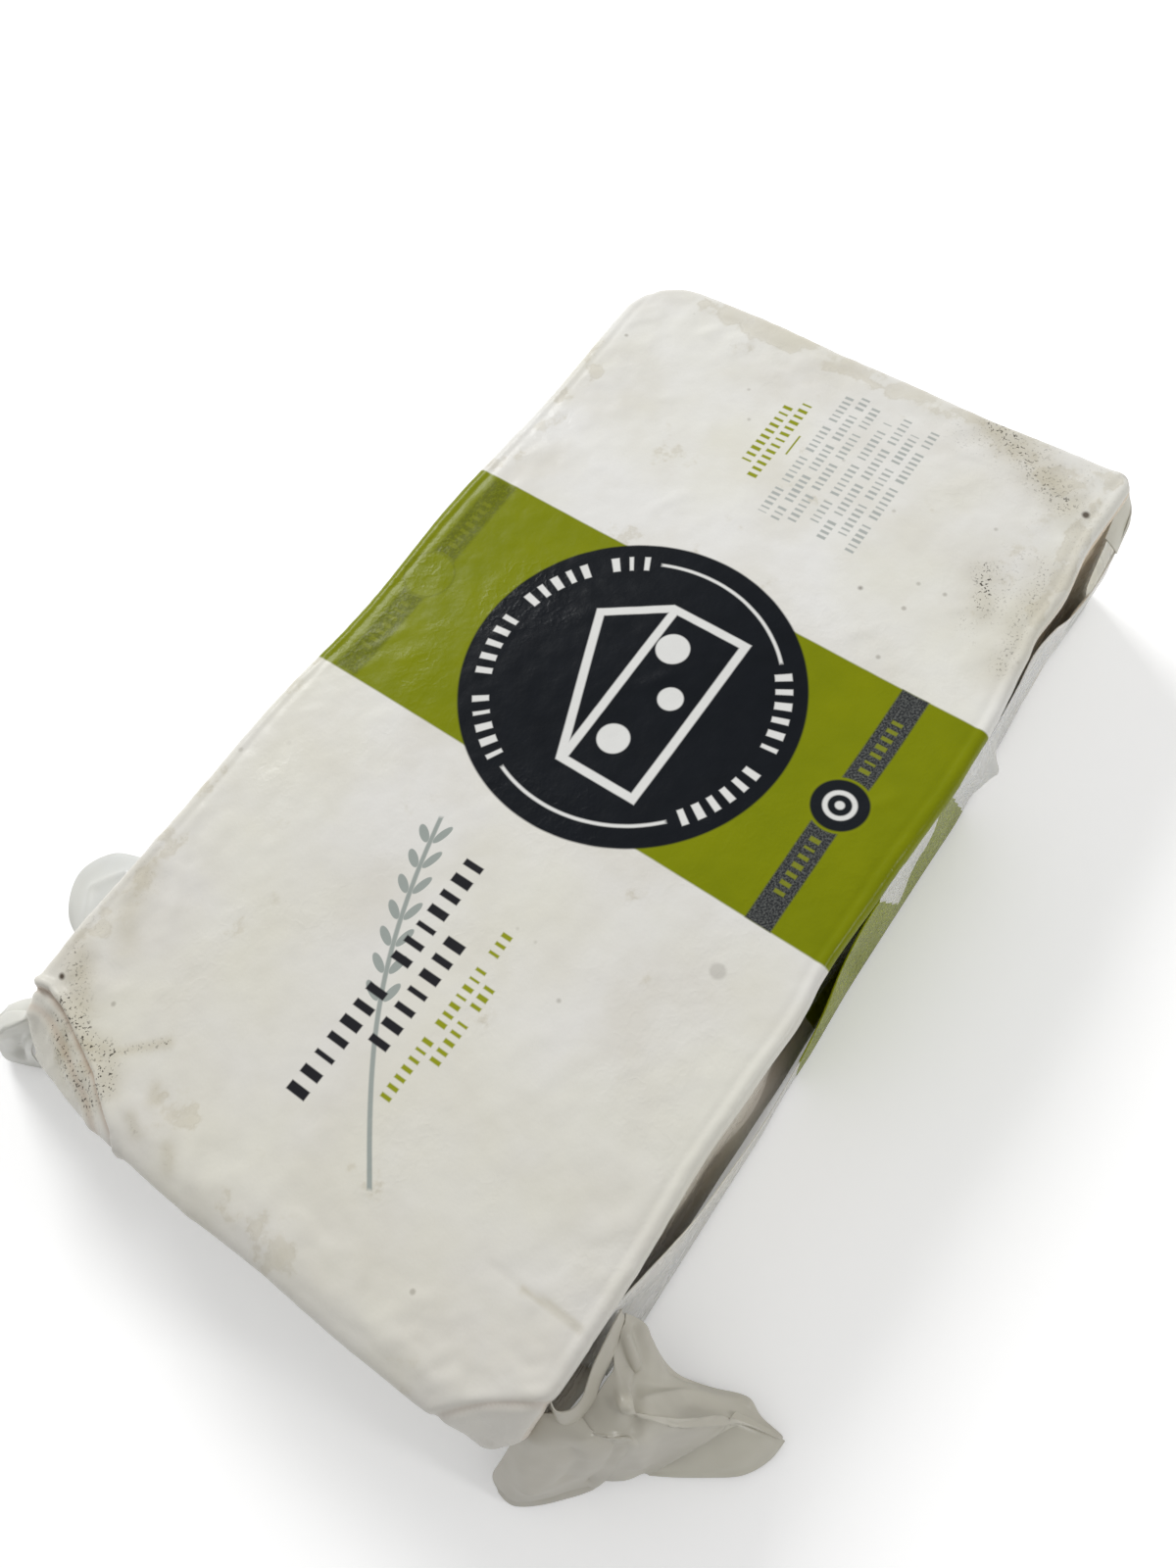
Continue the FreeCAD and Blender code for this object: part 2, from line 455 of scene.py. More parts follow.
@dataclass(frozen=True)
class SkinShaping:
    """Pulls, pinches, creases and wrinkles of the tight film.

    Attributes:
        form: Sizes of the block.
        front_pull: Pairs of X and the inward pull of the front top edge there, in mm.
        recess: Pairs of X and how far the front wall sits back under its edge there, in mm.
        back_crease: Pairs of Y and X along the back near corner's crease, in mm.
        front_crease: Pairs of Y and X along the front near corner's crease, in mm.
        side_sway: Waves of the long edges.
        end_sway: Waves of the end edges.
        swell: Broad swells of the top.
        tucks: Tucks that run from the back near corner.
        tuck_patches: Where the tucks show.
        marks: Shallow ridges of the top.
        mark_patches: Where those ridges show.
        curds: Lumps of the curd along the top's edges.
        dents: Small dents of the top.
        wall_folds: Upright folds of the walls.
        wall_creases: Fine creases of the walls.
        wall_patches: Where the fine creases show.
    """

    form: BlockForm
    front_pull: tuple = (
        (-180, 0.5), (-150, 0.0), (-119, 0.2), (-90, 1.2), (-66, 0.5), (-42, -0.6),
        (-23, 0.7), (5, 0.2), (50, -1.7), (68, -1.6), (98, 0.9), (108, 2.2),
        (124, 1.4), (149, 3.7), (172, 3.1), (180, 3.0),
    )
    recess: tuple = (
        (-176, 0.0), (-160, 2.2), (-140, 2.8), (-100, 3.0), (-60, 3.6), (-40, 5.0), (-5, 4.0),
        (14, 1.5), (90, 1.5), (112, 2.4), (128, 3.4), (156, 3.2), (172, 1.0),
    )
    back_crease: tuple = (
        (36, -186), (45, -176), (52, -172), (60, -167), (74, -163), (84, -160), (92, -159), (99, -161),
    )
    front_crease: tuple = (
        (-104, -157), (-98, -161), (-91, -166), (-86, -170), (-76, -179), (-70, -186),
    )
    side_sway: Ripples = Ripples(0.0, 95 * MM, 0.0, 5, 3)
    end_sway: Ripples = Ripples(0.0, 70 * MM, 0.0, 5, 8)
    swell: Ripples = Ripples(60.0, 85 * MM, 60.0, 9, 11)
    tucks: Ripples = Ripples(128.0, 13 * MM, 8.0, 12, 21)
    tuck_patches: Ripples = Ripples(20.0, 45 * MM, 80.0, 8, 5)
    marks: Ripples = Ripples(40.0, 10 * MM, 30.0, 14, 31)
    mark_patches: Ripples = Ripples(70.0, 45 * MM, 80.0, 8, 6)
    curds: Ripples = Ripples(0.0, 15 * MM, 180.0, 26, 43)
    dents: Ripples = Ripples(0.0, 6.5 * MM, 180.0, 24, 41)
    wall_folds: Ripples = Ripples(12.0, 26 * MM, 16.0, 10, 51)
    wall_creases: Ripples = Ripples(-20.0, 9 * MM, 20.0, 12, 61)
    wall_patches: Ripples = Ripples(10.0, 70 * MM, 60.0, 8, 7)

    def apply(self, surface: Surface) -> None:
        """Shapes the skin in place.

        Args:
            surface: The smooth skin, which is changed.
        """
        self.pull_edges(surface)
        self.sink_walls(surface)
        self.pinch_corners(surface)
        surface.lift(self.relief(surface))
        surface.crease_shade_and_dirt = self.crease_shade_and_dirt(surface)

    def pull_edges(self, surface: Surface) -> None:
        """Draws the long edges in and out, most at the edge itself.

        Args:
            surface: The skin, which is changed.
        """
        x, y, z = surface.points.T.copy()
        half_length, half_width = self.form.half
        fade = 0.25 + 0.75 * z / self.form.height
        knots = [(place * MM, pull * MM) for place, pull in self.front_pull]
        front = smooth(0.0, 45 * MM, 45 * MM - y - half_width)
        back = smooth(0.0, 40 * MM, 40 * MM + y - half_width)
        sway = self.side_sway.at(x, 0.0 * y)
        surface.points[:, 1] += (along(knots, x) * front + 0.55 * MM * sway * back) * fade
        ends = smooth(0.0, 40 * MM, 40 * MM + np.abs(x) - half_length)
        sway = self.end_sway.at(y, 0.0 * x)
        surface.points[:, 0] += 0.25 * MM * sway * ends * fade

    def sink_walls(self, surface: Surface) -> None:
        """Sets the walls back under their edges and rounds off the near end.

        Args:
            surface: The skin, which is changed.
        """
        x, y, z = surface.film.T
        half_length, half_width = self.form.half
        height = self.form.height
        band = smooth(2 * MM, 13 * MM, z) * (1.0 - smooth(52 * MM, 65 * MM, z))
        knots = [(place * MM, depth * MM) for place, depth in self.recess]
        front = smooth(0.0, 24 * MM, 24 * MM - y - half_width)
        back = smooth(0.0, 8 * MM, 8 * MM + y - half_width)
        surface.points[:, 1] += along(knots, x) * front * band - 1.3 * MM * back * band
        ends = smooth(0.0, 8 * MM, 8 * MM + np.abs(x) - half_length)
        surface.points[:, 0] -= np.sign(x) * 1.3 * MM * ends * band
        near = smooth(0.0, 14 * MM, 14 * MM - x - half_length)
        surface.points[:, 2] -= 3.2 * MM * near ** 2 * (z / height) ** 2

    def crease_gap(self, x: np.ndarray, y: np.ndarray, crease: tuple) -> np.ndarray:
        """How far past a corner's crease each point is, towards the near end."""
        knots = np.array(crease) * MM
        return np.interp(y, knots[:, 0], knots[:, 1]) - x

    def pinch_corners(self, surface: Surface) -> None:
        """Slopes the film down outside the creases and draws the corners in.

        Args:
            surface: The skin, which is changed.
        """
        x, y, z = surface.points.T.copy()
        share = z / self.form.height
        gap = np.clip(self.crease_gap(x, y, self.back_crease), 0.0, None)
        drop = 0.50 * gap * smooth(36 * MM, 60 * MM, y)
        gap = np.clip(self.crease_gap(x, y, self.front_crease), 0.0, None)
        drop += 0.62 * gap * smooth(70 * MM, 90 * MM, -y)
        surface.points[:, 2] -= drop * share ** 2
        surface.points += self.drawn_in(x, y)

    def drawn_in(self, x: np.ndarray, y: np.ndarray) -> np.ndarray:
        """Shift of each point towards the middle, near the two pinched corners.

        Args:
            x: Places along the block.
            y: Places across the block.

        Returns:
            The shift of each point, one a row.
        """
        shift = np.zeros((len(x), 3))
        for sign, reach, depth in ((1.0, 46 * MM, 9 * MM), (-1.0, 30 * MM, 5 * MM)):
            corner = np.array([-1.0, sign]) * self.form.half
            draw = depth * (1.0 - smooth(0.0, reach, np.hypot(x - corner[0], y - corner[1])))
            shift[:, 0] += draw * 0.55
            shift[:, 1] -= sign * draw * 0.45
        return shift

    def crease_shade_and_dirt(self, surface: Surface) -> np.ndarray:
        """Painted shade along each corner's crease, and dirt along the trails of specks.

        Args:
            surface: The skin, with its places on the flat film.

        Returns:
            Painted shade along the creases, specks and bloom at each vertex, one row each.
        """
        x, y, z = surface.film.T
        top = smooth(0.90, 0.99, z / self.form.height)
        # The crease line is painted shade: a darker line in the grooves beside each near corner's crease.
        gap = self.crease_gap(x, y, self.back_crease)
        back = bell(gap - 1.7 * MM, 1.0 * MM) + 0.5 * bell(gap - 7.5 * MM, 1.2 * MM)
        gap = self.crease_gap(x, y, self.front_crease)
        front = 0.4 * bell(gap - 0.6 * MM, 1.4 * MM)
        line = (back * smooth(38 * MM, 50 * MM, y) + front * smooth(72 * MM, 80 * MM, -y)) * top
        specks, bloom = np.zeros_like(x), np.zeros_like(x)
        for trail in TRAILS:
            gap = near_path(np.column_stack((x, y)), np.array(trail.path) * MM)
            specks = np.maximum(specks, trail.specks * bell(gap, trail.width * MM))
            bloom = np.maximum(bloom, trail.bloom * bell(gap, trail.reach * MM))
        return np.column_stack((line, specks * top, bloom * top))

    def relief(self, surface: Surface) -> np.ndarray:
        """Height of the creases and wrinkles over the smooth skin.

        Args:
            surface: The pinched skin.

        Returns:
            The lift of each vertex along its normal.
        """
        x, y, z = surface.film.T
        top = smooth(0.86, 0.99, z / self.form.height)
        base = 1.0 - smooth(0.01, 0.1, z / self.form.height)
        wall = (1.0 - top) * (1.0 - base)
        lift = (self.top_relief(x, y) + self.crease_relief(x, y)) * top
        lift += self.wall_relief(x, y, z) * wall
        return lift + self.edge_beads(x, y, z) + self.end_folds(x, y, z)

    def top_relief(self, x: np.ndarray, y: np.ndarray) -> np.ndarray:
        """Soft swells, tucks that run from the near corner, and curdy edges.

        Args:
            x: Places along the block, on the flat film.
            y: Places across the block, on the flat film.

        Returns:
            The lift of each vertex along its normal.
        """
        swell = self.swell.at(x, y) * 0.42 * MM
        corner = np.hypot((x + 165 * MM) / (75 * MM), (y - 62 * MM) / (62 * MM))
        tucks = self.tucks.at(x, y)
        patch = smooth(-0.1, 1.0, self.tuck_patches.at(x, y))
        lift = swell + np.maximum(tucks, 0.0) ** 1.4 * 0.50 * MM * bell(corner, 1.0) * patch
        marks = self.marks.at(x, y)
        patch = smooth(0.3, 1.5, self.mark_patches.at(x, y))
        lift += np.maximum(marks, 0.0) * 0.22 * MM * patch
        inside = (self.form.half - np.abs(np.column_stack((x, y)))).min(axis=1)
        rim = smooth(3 * MM, 9 * MM, inside) * (1.0 - 0.8 * smooth(14 * MM, 34 * MM, inside))
        curds = self.curds.at(x, y)
        lift += 0.17 * MM * np.tanh(2.5 * curds) * rim * smooth(-40 * MM, 60 * MM, np.abs(x) - 60 * MM)
        dents = self.dents.at(x, y)
        return lift + dents * 0.045 * MM + self.cross_crease(x, y)

    def cross_crease(self, x: np.ndarray, y: np.ndarray) -> np.ndarray:
        """Thin crease across the front edge near the near end.

        Args:
            x: Places along the block, on the flat film.
            y: Places across the block, on the flat film.

        Returns:
            The lift of each vertex along its normal.
        """
        points = np.column_stack((x, y))
        path = np.array([(-142, -98), (-141, -84), (-142, -76), (-142, -66)]) * MM
        return -0.28 * MM * bell(near_path(points, path), 1.0 * MM)

    def wall_relief(self, x: np.ndarray, y: np.ndarray, z: np.ndarray) -> np.ndarray:
        """Upright and slanted folds that run down the walls.

        Args:
            x: Places along the block, on the flat film.
            y: Places across the block, on the flat film.
            z: Heights on the flat film.

        Returns:
            The lift of each vertex along its normal.
        """
        long_wall = np.abs(np.abs(y) - self.form.half[1]) < 8 * MM
        way = np.where(long_wall, x, y)
        folds = self.wall_folds.at(way, z)
        fine = self.wall_creases.creases(way, z, 0.22)
        patch = smooth(0.0, 1.3, self.wall_patches.at(way, z))
        calm = np.where(long_wall & (y > 0.0), 1.0, 0.5)
        return (folds * 0.50 * MM + fine * 0.40 * MM * patch * calm) * calm

    def crease_relief(self, x: np.ndarray, y: np.ndarray) -> np.ndarray:
        """A rope along the back corner's crease and a furrow along the front one's.

        Args:
            x: Places along the block, on the flat film.
            y: Places across the block, on the flat film.

        Returns:
            The lift of each vertex along its normal.
        """
        gap = self.crease_gap(x, y, self.back_crease)
        rope = 1.25 * MM * bell(gap + 1.0 * MM, 1.7 * MM) - 1.1 * MM * bell(gap - 1.8 * MM, 1.1 * MM)
        rope += 0.55 * MM * bell(gap - 9.5 * MM, 1.6 * MM) - 0.3 * MM * bell(gap - 6.0 * MM, 2.0 * MM)
        live = smooth(36 * MM, 42 * MM, y)
        gap = self.crease_gap(x, y, self.front_crease)
        furrow = -0.9 * MM * bell(gap - 0.5 * MM, 1.8 * MM) + 0.2 * MM * bell(gap + 3.5 * MM, 2.5 * MM)
        return rope * live + furrow * smooth(70 * MM, 76 * MM, -y)

    def edge_beads(self, x: np.ndarray, y: np.ndarray, z: np.ndarray) -> np.ndarray:
        """Rolled beads on the long top edges: a groove, then a raised rim.

        Args:
            x: Places along the block, on the flat film.
            y: Places across the block, on the flat film.
            z: Heights on the flat film.

        Returns:
            The lift of each vertex along its normal.
        """
        high = smooth(0.90, 0.97, z / self.form.height)
        live = smooth(-160 * MM, -136 * MM, x)
        inside = y + self.form.half[1]
        front = 0.10 * MM * bell(inside - 2.0 * MM, 1.6 * MM)
        front -= 0.26 * MM * bell(inside - 5.0 * MM, 1.2 * MM)
        inside = self.form.half[1] - y
        back = -0.24 * MM * bell(inside - 5.0 * MM, 1.1 * MM)
        return (front + back) * high * live

    def end_folds(self, x: np.ndarray, y: np.ndarray, z: np.ndarray) -> np.ndarray:
        """Slanted tucks from the corners of each end wall to its seam.

        Args:
            x: Places along the block, on the flat film.
            y: Places across the block, on the flat film.
            z: Heights on the flat film.

        Returns:
            The lift of each vertex along its normal.
        """
        lift = np.zeros_like(x)
        for sign in (-1.0, 1.0):
            for start in (self.form.height, 0.0):
                path = np.array([
                    [sign * (self.form.half[1] - 4 * MM), start],
                    [sign * (self.form.half[1] - 46 * MM), 27 * MM],
                ])
                gap = near_path(np.column_stack((y, z)), path)
                lift += 0.8 * MM * bell(gap, 2.4 * MM)
        return np.where(np.abs(np.abs(x) - self.form.half[0]) < 1.5 * MM, lift, 0.0)


# ---------------------------------------------------------------- loose film

@dataclass(frozen=True)
class Fold:
    """A ridge or a valley in a sheet of film.

    Attributes:
        path: Its corners, each as shares (across, along) of the sheet.
        height: Lift at its middle, in mm; a valley is negative.
        width: Half its width, in mm.
        sharp: Whether it comes to a crest instead of a round back.
    """

    path: tuple
    height: float
    width: float
    sharp: bool = False


@dataclass(frozen=True)
class FilmFan:
    """A sheet of loose film, drawn through ribs from its root to its hem.

    Attributes:
        name: Name of the piece.
        ribs: Ribs, each a row of points (x, y, z) in mm from root to hem.
        folds: Ridges and valleys.
        ripple: Depth of its soft waves, in mm.
        seed: Start of the waves' random numbers.
        across: Faces over each gap between ribs.
        along: Faces over each gap between a rib's points.
    """

    name: str
    ribs: tuple
    folds: tuple = ()
    ripple: float = 0.5
    seed: int = 1
    across: int = 14
    along: int = 16

    def build(self, material: bpy.types.Material) -> bpy.types.Object:
        """Makes the sheet: a smooth curve through each rib, then across the ribs.

        Args:
            material: Finish of the film.

        Returns:
            The piece.
        """
        ribs = np.array(self.ribs, float) * MM
        rib_count, station_count = ribs.shape[:2]
        rows = (rib_count - 1) * self.across + 1
        columns = (station_count - 1) * self.along + 1
        stations = np.linspace(0.0, station_count - 1.0, columns)
        drawn = through(ribs.transpose(1, 0, 2), stations)
        sheet = through(drawn.transpose(1, 0, 2), np.linspace(0.0, rib_count - 1.0, rows))
        points = sheet.reshape(-1, 3)
        surface = Surface(points, grid_quads(rows, columns), points.copy())
        lift = np.zeros(len(points))
        for fold in self.folds:
            lift += self.fold_lift(fold, sheet, points)
        share = np.tile(np.linspace(0.0, 1.0, columns), rows)
        way = np.repeat(np.linspace(0.0, 1.0, rows), columns)
        waves = Ripples(70.0, 0.42, 35.0, 7, self.seed).at(way, share)
        lift += self.ripple * MM * waves * share * (1.0 - 0.4 * share)
        surface.lift(lift)
        return film_sheet(surface, self.name, material)

    def fold_lift(self, fold: Fold, sheet: np.ndarray, points: np.ndarray) -> np.ndarray:
        """Lift from one fold, by each point's distance from the fold's path.

        Args:
            fold: The ridge or valley.
            sheet: The sheet's points, by rib and station.
            points: The same points, one a row.

        Returns:
            The lift of each vertex along its normal.
        """
        rows, columns = sheet.shape[:2]
        corners = np.array(fold.path)
        path = sheet[
            np.rint(corners[:, 0] * (rows - 1)).astype(int),
            np.rint(corners[:, 1] * (columns - 1)).astype(int),
        ]
        gap = near_path(points, path) / (fold.width * MM)
        shape = np.exp(-gap) if fold.sharp else np.exp(-gap * gap)
        return fold.height * MM * shape


FRONT_EAR = FilmFan(
    name="front_ear",
    ribs=(
        ((-158, -104, 52), (-160, -108, 52), (-158, -114, 48), (-166, -115, 25), (-172, -114, 3)),
        ((-155, -105, 52), (-157, -111, 51), (-156, -118, 44), (-163, -119, 20), (-167, -121, 3)),
        ((-151, -105, 53), (-155, -112, 51), (-154, -119, 42), (-158, -123, 20), (-161, -125, 5)),
        ((-147, -105, 53), (-151, -113, 52), (-151, -122, 39), (-149, -129, 24), (-150, -132, 13)),
        ((-144, -105, 52), (-149, -114, 53), (-145, -125, 43), (-138, -135, 29), (-136, -140, 18)),
        ((-141, -103, 52), (-147, -113, 46), (-142, -123, 29), (-136, -137, 16), (-132, -152, 4)),
        ((-138, -102, 52), (-143, -111, 41), (-140, -121, 23), (-135, -133, 11), (-131, -145, 4)),
        ((-135, -101, 53), (-139, -110, 43), (-138, -117, 25), (-135, -125, 12), (-131, -135, 5)),
        ((-133, -101, 53), (-135, -108, 44), (-136, -114, 28), (-137, -119, 15), (-134, -125, 7)),
        ((-131, -100, 53), (-130, -105, 47), (-132, -108, 37), (-134, -112, 26), (-136, -118, 12)),
    ),
    folds=(
        Fold(((0.34, 0.36), (0.38, 0.38), (0.45, 0.50), (0.48, 0.78)), 2.4, 2.4, True),
        Fold(((0.55, 0.30), (0.68, 0.57), (0.72, 0.95)), -2.6, 3.4),
        Fold(((0.22, 0.95), (0.35, 0.85), (0.45, 0.82)), -1.6, 1.4, True),
        Fold(((0.80, 0.08), (0.72, 0.20), (0.42, 0.22)), -1.8, 2.4),
        Fold(((0.90, 0.15), (0.80, 0.32), (0.50, 0.27)), 1.6, 2.6),
        Fold(((0.28, 0.45), (0.22, 0.60), (0.20, 0.80)), -1.4, 3.4),
    ),
    ripple=0.25,
    seed=4,
)

EAR_HEM = FilmFan(
    name="ear_hem",
    ribs=(
        ((-160, -121, 6), (-161, -124, 4), (-162, -126, 2)),
        ((-151, -124, 12), (-155, -130, 7), (-157, -134, 2)),
        ((-145, -127, 17), (-149, -137, 9), (-152, -141, 2)),
        ((-140, -131, 19), (-142, -143, 11), (-146, -148, 2)),
        ((-137, -136, 17), (-135, -147, 10), (-139, -152, 2)),
        ((-134, -137, 14), (-132, -147, 8), (-132, -153, 3)),
    ),
    ripple=0.3,
    seed=6,
)

EAR_LOBE = FilmFan(
    name="ear_lobe",
    ribs=(
        (
            (-165, -93, 52), (-170, -93, 46), (-175, -92, 37), (-181, -91, 26),
            (-186, -90, 15), (-189, -91, 8), (-191, -93, 2),
        ),
        (
            (-163, -96, 55), (-168, -98, 50), (-172, -99, 42), (-178, -98, 32),
            (-184, -98, 20), (-188, -98, 11), (-191, -99, 2),
        ),
        (
            (-161, -99, 56), (-165, -103, 52), (-168, -104, 47), (-172, -105, 39),
            (-178, -105, 26), (-182, -105, 14), (-185, -106, 2),
        ),
        (
            (-160, -102, 55), (-162, -107, 53), (-163, -109, 50), (-165, -112, 42),
            (-170, -112, 28), (-174, -111, 15), (-178, -112, 2),
        ),
        (
            (-158, -105, 53), (-159, -109, 53), (-159, -112, 51), (-155, -118, 46),
            (-163, -118, 31), (-169, -117, 17), (-174, -115, 4),
        ),
    ),
    folds=(
        Fold(((0.60, 0.40), (0.65, 0.52), (0.62, 0.70)), 1.5, 3.0),
        Fold(((0.20, 0.20), (0.22, 0.45), (0.35, 0.70)), -1.6, 4.0),
        Fold(((0.97, 0.22), (0.90, 0.50), (0.84, 0.86)), 1.3, 1.5, True),
        Fold(((0.10, 0.92), (0.50, 0.93), (0.85, 0.94)), 0.9, 1.4, True),
    ),
    ripple=0.25,
    seed=5,
)

EAR_POCKET = FilmFan(
    name="ear_pocket",
    ribs=(
        ((-157, -95, 66), (-160, -97, 58), (-162, -97, 50)),
        ((-160, -99, 63), (-162, -101, 56), (-163, -101, 48)),
        ((-158, -102, 61), (-160, -104, 54), (-161, -104, 46)),
        ((-154, -103, 61), (-156, -105, 53), (-157, -104, 44)),
        ((-150, -102, 61), (-152, -105, 53), (-154, -104, 44)),
        ((-146, -101, 61), (-148, -104, 53), (-150, -103, 44)),
        ((-139, -100, 60), (-141, -103, 52), (-143, -102, 44)),
        ((-131, -99, 58), (-133, -101, 51), (-135, -101, 44)),
    ),
    ripple=0.1,
    seed=9,
)

BACK_EAR = FilmFan(
    name="back_ear",
    ribs=(
        ((-168, 90, 56), (-175, 95, 44), (-179, 101, 24), (-179, 107, 4)),
        ((-166, 92, 58), (-174, 103, 46), (-181, 112, 24), (-184, 118, 4)),
        ((-164, 94, 59), (-172, 109, 50), (-179, 120, 30), (-186, 126, 5)),
        ((-161, 95, 56), (-166, 110, 40), (-172, 124, 20), (-179, 132, 4)),
        ((-156, 95, 50), (-158, 108, 32), (-159, 118, 15), (-160, 124, 4)),
        ((-150, 94, 48), (-149, 107, 34), (-147, 115, 22), (-146, 119, 14)),
        ((-142, 94, 48), (-140, 107, 38), (-138, 119, 32), (-137, 128, 28)),
        ((-134, 94, 47), (-129, 108, 39), (-126, 123, 33), (-124, 137, 27)),
        ((-124, 94, 45), (-119, 106, 39), (-115, 120, 34), (-112, 131, 29)),
        ((-117, 94, 44), (-112, 102, 40), (-109, 109, 37), (-107, 115, 34)),
    ),
    folds=(
        Fold(((0.15, 0.10), (0.15, 0.28), (0.15, 0.45)), 4.4, 2.2, True),
        Fold(((0.22, 0.12), (0.22, 0.35), (0.25, 0.55)), -4.2, 2.6),
        Fold(((0.08, 0.10), (0.09, 0.45), (0.10, 0.80)), -3.0, 2.4),
        Fold(((0.30, 0.15), (0.30, 0.50), (0.34, 0.90)), 1.6, 2.0, True),
        Fold(((0.68, 0.55), (0.78, 0.72), (0.90, 0.62)), 1.2, 2.4, True),
    ),
    ripple=0.4,
    seed=14,
)

FAR_LOOP = FilmFan(
    name="far_loop",
    ribs=(
        ((179, -92, 66), (181, -94, 60), (179, -96, 54)),
        ((173, -94, 65), (176, -97, 58), (178, -99, 50)),
        ((166, -95, 62), (170, -98, 55), (173, -100, 47)),
        ((160, -96, 58), (163, -99, 52), (166, -101, 46)),
    ),
    ripple=0.15,
    seed=19,
)


@dataclass(frozen=True)
class FrontPleat:
    """Film that stands off the front wall, from its free edge down to the base.

    Attributes:
        stations: Rows of (x, height of the free edge, how far the free edge
            stands out, how far the base stands out), all in mm.
        tip: X, height and reach of its small pointed tip, in mm.
        columns: Points along it.
        rows: Points from its free edge to the base.
    """

    stations: tuple = (
        (-148, 64, -2.0, 2.4), (-133, 64, -0.8, 3.0), (-122, 60, 0.8, 3.0), (-108, 50, 2.4, 3.0),
        (-98, 35, 2.6, 3.0), (-80, 22, 2.6, 3.0), (-62, 12, 2.6, 3.0), (-48, 14, 2.4, 2.3),
        (-36, 24, 2.2, 2.4), (-29, 36, 2.0, 2.4), (-18, 55, 0.8, 2.0), (-6, 62, 0.0, 1.6),
        (9, 65, 0.2, 1.6), (45, 65, 0.8, 1.8), (66, 64, 1.2, 2.0), (76, 63, 1.0, 1.5),
        (90, 63, 0.4, 0.6), (104, 62, -0.8, 0.3), (120, 56, 0.0, -0.6), (134, 46, 1.2, -1.6),
        (148, 42, 2.0, -1.5), (160, 43, 2.0, -0.8), (169, 48, 1.6, -0.4),
        (177, 55, 0.0, -0.6), (183, 60, -6.0, -5.0),
    )
    tip: tuple = (78, 30, 5.5)
    columns: int = 330
    rows: int = 34

    def build(self, form: BlockForm, material: bpy.types.Material) -> bpy.types.Object:
        """Makes the pleat: straight from the free edge to the base, then rippled.

        Args:
            form: Sizes of the block.
            material: Finish of the film.

        Returns:
            The piece.
        """
        table = np.array(self.stations, float)
        row_x = np.linspace(table[0, 0], table[-1, 0], self.columns)
        place = np.interp(row_x, table[:, 0], np.arange(len(table)))
        free_z, free_out, base_out = through(table[:, 1:], place).T
        share = np.tile(np.linspace(0.0, 1.0, self.rows), self.columns)
        x, top, first, last = (np.repeat(v, self.rows) for v in (row_x, free_z, free_out, base_out))
        z = top + (1.0 - top) * share
        folds = Ripples(24.0, 30.0, 16.0, 9, 71).at(x, z)
        fine = Ripples(40.0, 11.0, 18.0, 10, 81).at(x, z)
        loose = np.sin(np.pi * share ** 0.8) * (1.0 - bell(x + 60.0, 30.0))
        out = first + (last - first) * share + (0.7 * folds + 0.10 * fine) * loose
        tip_x, tip_z, tip_out = self.tip
        out += tip_out * np.exp(-np.hypot((x - tip_x) / 5.5, (z - tip_z) / 9.0))
        points = np.column_stack((x, -(form.half[1] / MM + out), z)) * MM
        film = np.column_stack((self.print_place(x, z), points[:, 1] / MM, z)) * MM
        surface = Surface(points, grid_quads(self.columns, self.rows), film)
        return film_sheet(surface, "front_pleat", material)

    def print_place(self, x: np.ndarray, z: np.ndarray) -> np.ndarray:
        """Place of the pleat on the flat film, in mm along X.

        The doubled film repeats the band: it shows from -40 to 14 and again
        from 34 to 56, between slanted edges, with bare film elsewhere.

        Args:
            x: Places along the pleat, in mm.
            z: Heights over the base, in mm.

        Returns:
            The place of each point on the flat film, in mm.
        """
        slant = x + 0.45 * (z - 40.0)
        bare = 120.0
        place = np.where(slant < 14.0, x + 16.0, bare)
        place = np.where((x - 0.5 * (z - 40.0) > 34.0) & (slant < 56.0), 30.0, place)
        return place


@dataclass(frozen=True)
class EndSeam:
    """Sealed strip, folded flat against one end wall, with crimped ribs.

    Attributes:
        side: -1.0 at the near end, 1.0 at the far end.
        height: Width of the strip.
        middle: Height of its middle over the base.
        inset: Distance of its ends from the long sides.
        proud: How far its lower edge stands off the wall.
        columns: Points along it.
        rows: Points over its width.
    """

    side: float
    height: float = 15 * MM
    middle: float = 27 * MM
    inset: float = 14 * MM
    proud: float = 1.3 * MM
    columns: int = 300
    rows: int = 26

    def build(self, form: BlockForm, material: bpy.types.Material) -> bpy.types.Object:
        """Makes the strip: a wavy band whose lower edge stands off the wall.

        Args:
            form: Sizes of the block.
            material: Finish of the film.

        Returns:
            The piece.
        """
        half = form.half[1] - self.inset
        y = np.repeat(np.linspace(-half, half, self.columns), self.rows)
        share = np.tile(np.linspace(0.0, 1.0, self.rows), self.columns)
        sag = Ripples(0.0, 60 * MM, 0.0, 5, 91 + int(self.side)).at(y, 0.0 * y)
        z = self.middle + self.height * (0.5 - share) + 0.8 * MM * sag
        ribs = 0.12 * MM * np.cos(2.0 * np.pi * share * self.height / (1.6 * MM))
        lap = self.proud * (0.25 + 0.75 * share ** 1.4) * (1.0 - bell(np.abs(y) - half, 9 * MM))
        stand = 0.9 * MM * np.maximum(Ripples(0.0, 34 * MM, 0.0, 6, 95).at(y, 0.0 * y), 0.0) * share
        x = self.side * (form.half[0] - 0.2 * MM + lap + stand + ribs)
        points = np.column_stack((x, y, z)) + SkinShaping(form).drawn_in(x, y)
        quads = grid_quads(self.columns, self.rows)
        surface = Surface(points, quads if self.side < 0.0 else quads[:, ::-1], points.copy())
        name = "near_seam" if self.side < 0.0 else "far_seam"
        return film_sheet(surface, name, material)


# ---------------------------------------------------------------- shader maths

